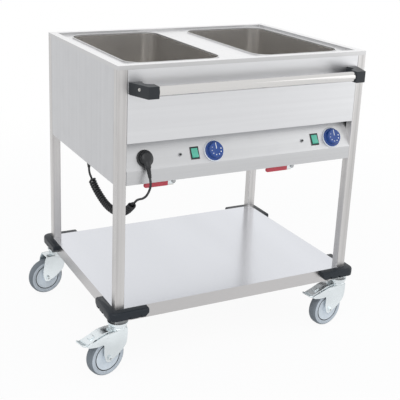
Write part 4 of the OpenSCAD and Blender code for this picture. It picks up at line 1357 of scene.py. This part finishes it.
@dataclass
class Castor:
    """A swivel castor: pressed fork, wheel and, at the front, its brake pedal.

    The outlines of fork and pedal are distances from the swivel, less than 0 behind it, and heights above
    the floor. The profiles of hub and tyre are radii and distances from the wheel's middle plane.
    """

    swivel: tuple[float, float] = (407.5, 295.0)
    trail: float = 46.0  # from the swivel back to the axle
    wheel: float = 62.5  # radius of the wheel
    fork_in: float = 20.0  # the inner face of a cheek
    fork_out: float = 23.0  # its outer face
    crown: float = 142.0  # height of the crown's underside
    pedal_pin: tuple[float, float] = (-52.0, 134.0)  # its distance from the swivel and its height
    pedal_gap: float = 1.5  # between the pedal and the cheeks
    ribs: int = 8  # ribs on a pedal's toe

    def _place(self, corner: Corner) -> Matrix:
        """The place on the floor under the swivel, turned as the castor is."""
        sx, sy, turn = corner.value
        return upright() @ moved(sx * self.swivel[0], sy * self.swivel[1], 0) @ Matrix.Rotation(
            math.radians(turn), 4, "Z")

    def _pin(self, place: Matrix) -> Matrix:
        """The place of the pedal's pin, from the castor's."""
        return place @ moved(self.pedal_pin[0], 0, self.pedal_pin[1]) @ TO_Y

    def build_fork(self, palette: Palette, corner: Corner) -> None:
        """Makes the pressed fork with its race, pin and axle.

        Args:
            palette: The finishes.
            corner: Its corner.
        """
        place = self._place(corner)
        w, crown, trail = self.wheel, self.crown, self.trail
        front = [(20, crown + 4), (22, crown + 2), (22, crown - 16), (21, w + 46), (18, w + 32),
                 (14.5, w + 25.5), (10, w + 20), (1, w + 12), (-9, w + 4), (-22, w - 3.6), (-33, w - 8.6)]
        wing = [(-63, w + 8), (-65, w + 18), (-65, w + 45), (-66, w + 49), (-69, w + 51), (-79, w + 50.5),
                (-94, w + 51.5), (-117, w + 56.5), (-124.4, w + 60.4), (-126, w + 62.8), (-124.4, w + 66),
                (-119, w + 68), (-108, w + 70.5), (-90, w + 74.5), (-74, w + 78.5), (-58, w + 82.2),
                (-50, crown + 4)]
        plain = [(-63.4, w + 8), (-65, w + 18), (-63, w + 37.5), (-56, w + 70), (-50, crown + 4)]
        outline = front + arc(-trail, w, 14, -40, -165, 10) + (wing if corner.braked else plain)
        parts = []
        thick, pin_half, seat = self.fork_out - self.fork_in, self.fork_in + 1, self.fork_out - 0.2
        for face in (-self.fork_out, self.fork_in):
            parts.append(Bench.plate("cheek", outline, face, face + thick, place @ TO_Y, 0.8))
        top = [(-50, crown + 4), (20, crown + 4), (21.4, crown + 2.4), (21.4, crown), (-50, crown)]
        parts.append(Bench.plate("crown", top, -self.fork_out, self.fork_out, place @ TO_Y, 1.2))
        race = [(6.1, crown), (28.0, crown), (28.0, 149.0), (27.0, 150.0), (27.0, 151.0), (28.0, 152.0),
                (27.6, 153.0), (6.1, 153.0)]
        parts.append(Bench.turned("race", race, place, 48, Ends.JOINED))
        axle = place @ moved(-trail, 0, w) @ TO_Y
        parts.append(Bench.turned("axle", [(6.0, -pin_half), (6.0, pin_half)], axle, 32))
        for way in (-1, 1):
            nut = [(8.0, way * seat), (8.0, way * (seat + 5.6)), (7.0, way * (seat + 6.2))]
            parts.append(Bench.turned("nut", nut, axle, 6))
            tip = [(3.6, way * (seat + 5.2)), (3.6, way * (seat + 6.2))]
            parts.append(Bench.turned("tip", tip, axle, 20))
        if corner.braked:
            pin = self._pin(place)
            parts.append(Bench.turned("pin", [(3.0, -pin_half), (3.0, pin_half)], pin, 24))
            for way in (-1, 1):
                rivet = [(4.2, way * seat), (3.8, way * (seat + 1.4)), (2.0, way * (seat + 2.0))]
                parts.append(Bench.turned("rivet", rivet, pin, 20))
        fork = Bench.joined("pressed_fork_" + corner.word, parts)
        Bench.dress(fork, [palette.zinc], "castor_" + corner.word, "zinc_plate",
                    ["castor_fork_" + corner.word])
        profile = [(24.0, 152.6), (25.6, 152.6), (25.6, 154.4), (24.0, 154.4)]
        seal = Bench.turned("race_seal_" + corner.word, profile, place, 40, Ends.JOINED)
        Bench.dress(seal, [palette.groove], "castor_" + corner.word, "zinc_plate")

    def build_wheel(self, palette: Palette, corner: Corner) -> None:
        """Turns the hub, with its dark joint, and the tyre.

        Args:
            palette: The finishes.
            corner: Its corner.
        """
        place = self._place(corner) @ moved(-self.trail, 0, self.wheel) @ TO_Y
        body = "wheel_" + corner.word
        half = [(6.05, 19.4), (12.0, 19.4), (13.0, 18.4), (13.4, 13.0), (15.0, 11.6),
                (28.0, 12.6), (36.0, 12.6), (40.0, 14.4), (42.2, 14.6), (43.0, 13.2),
                (45.0, 13.2), (45.6, 14.6), (47.0, 14.6)]
        skins = [0] * 8 + [1] * 3 + [0]  # 1 is the dark joint
        profile = half + [(r, -z) for r, z in reversed(half)]
        hub = Bench.turned("hub_" + corner.word, profile, place, 64, Ends.JOINED, skins + [0] + skins[::-1])
        Bench.dress(hub, [palette.hub, palette.groove], body, "hub_plastic", ["wheel_hub_" + corner.word],
                    smooth=28)
        side = [(47.0, 15.0), (48.4, 16.0), (54.0, 16.0), (57.5, 15.2), (60.2, 13.0), (61.8, 9.6),
                (62.5, 6.0)]
        profile = side + [(r, -z) for r, z in reversed(side)]
        # painted shade: skin 1, the tread, takes the darker tread colour
        skins = [0] * 3 + [1] * 3  # 1 is the tread
        tyre = Bench.turned("tyre_ring_" + corner.word, profile, place, 72, Ends.JOINED,
                            skins + [1] + skins[::-1])
        Bench.dress(tyre, [palette.tyre_side, palette.shaded_tread], body, "tyre_grey", ["tyre_" + corner.word],
                    smooth=50)

    def build_pedal(self, palette: Palette, corner: Corner) -> None:
        """Makes the pressed brake pedal with its raised tab, ribbed toe and shoe.

        Args:
            palette: The finishes.
            corner: Its corner.
        """
        place = self._place(corner)
        wide = self.fork_in - self.pedal_gap
        sheet = [(-34, 150.5), (-60, 150.7), (-69, 149.2), (-77, 146.8), (-90, 142.5), (-114, 134.5),
                 (-121, 131.2), (-125, 129.0), (-128, 128.6), (-132, 130.0), (-138.4, 133.2),
                 (-140.2, 130.4), (-134, 126.4), (-129, 124.6), (-125, 125.0), (-119, 128.0),
                 (-113, 131.0), (-89, 139.2), (-76, 143.5), (-68, 145.9), (-60, 147.3), (-34, 147.3)]
        parts = [Bench.plate("sheet", sheet, -wide, wide, place @ TO_Y, 0.5)]
        web = [(-52.5, 127.0), (-52.5, 149.0), (-62, 149.0), (-76, 145.0), (-90, 140.5), (-70, 127.0)]
        for face in (-wide, wide - 2.5):
            parts.append(Bench.plate("web", web, face, face + 2.5, place @ TO_Y, 0.5))
        bush = [(3.05, -wide), (6.0, -wide), (6.0, wide), (3.05, wide)]
        parts.append(Bench.turned("bush", bush, self._pin(place), 32, Ends.JOINED))
        tab = [(-91, 141.4), (-107, 136.2), (-108.4, 139.4), (-106.6, 143.0), (-94, 147.0), (-90.6, 145.2)]
        parts.append(Bench.plate("tab", tab, -9, 9, place @ TO_Y, 0.9))
        rib = [(-118, 131.4), (-125, 128.0), (-131, 128.6), (-138.6, 132.6), (-140.4, 135.0), (-137.4, 135.4),
               (-130, 132.2), (-124, 131.6)]
        for k in range(self.ribs):
            y = (2 * k / (self.ribs - 1) - 1) * (wide - 1.4)
            parts.append(Bench.plate("rib", rib, y - 0.9, y + 0.9, place @ TO_Y))
        shoe = [(-81, 127.8), (-69, 127.8), (-69, 145), (-81, 143)]
        parts.append(Bench.plate("shoe", shoe, -10, 10, place @ TO_Y, 0.8))
        pedal = Bench.joined("foot_pedal_" + corner.word, parts)
        Bench.dress(pedal, [palette.zinc], "pedal_" + corner.word, "zinc_plate",
                    ["brake_pedal_" + corner.word])


def main() -> None:
    """Builds the scene in order, from the camera and the lead to the castors."""
    logging.basicConfig(level=logging.INFO, format="%(name)s %(message)s")
    bpy.context.scene.view_settings.view_transform = "Standard"
    palette = Palette()
    studio = Studio()
    studio.set_camera()
    MainsPlug().build(palette)
    CurlyLead().build(palette)
    studio.set_light()
    studio.set_floor()
    bodywork, controls, bar, drain, bumper, castor = (
        Bodywork(), Controls(), PushBar(), Drain(), Bumper(), Castor())
    bodywork.dress_sheets(palette)
    controls.build_dock(palette)
    bar.dress_bar(palette)
    Bench.dress_node("castor_heads", palette.zinc)
    for side in Side:
        bodywork.build_well(palette, side)
        controls.build_knob(palette, side)
        controls.build_switch(palette, side)
        bar.build_bracket(palette, side)
        drain.build_lever(palette, side)
    for corner in Corner:
        bumper.build(palette, corner)
        castor.build_fork(palette, corner)
        castor.build_wheel(palette, corner)
        if corner.braked:
            castor.build_pedal(palette, corner)


if __name__ == "__main__":
    main()
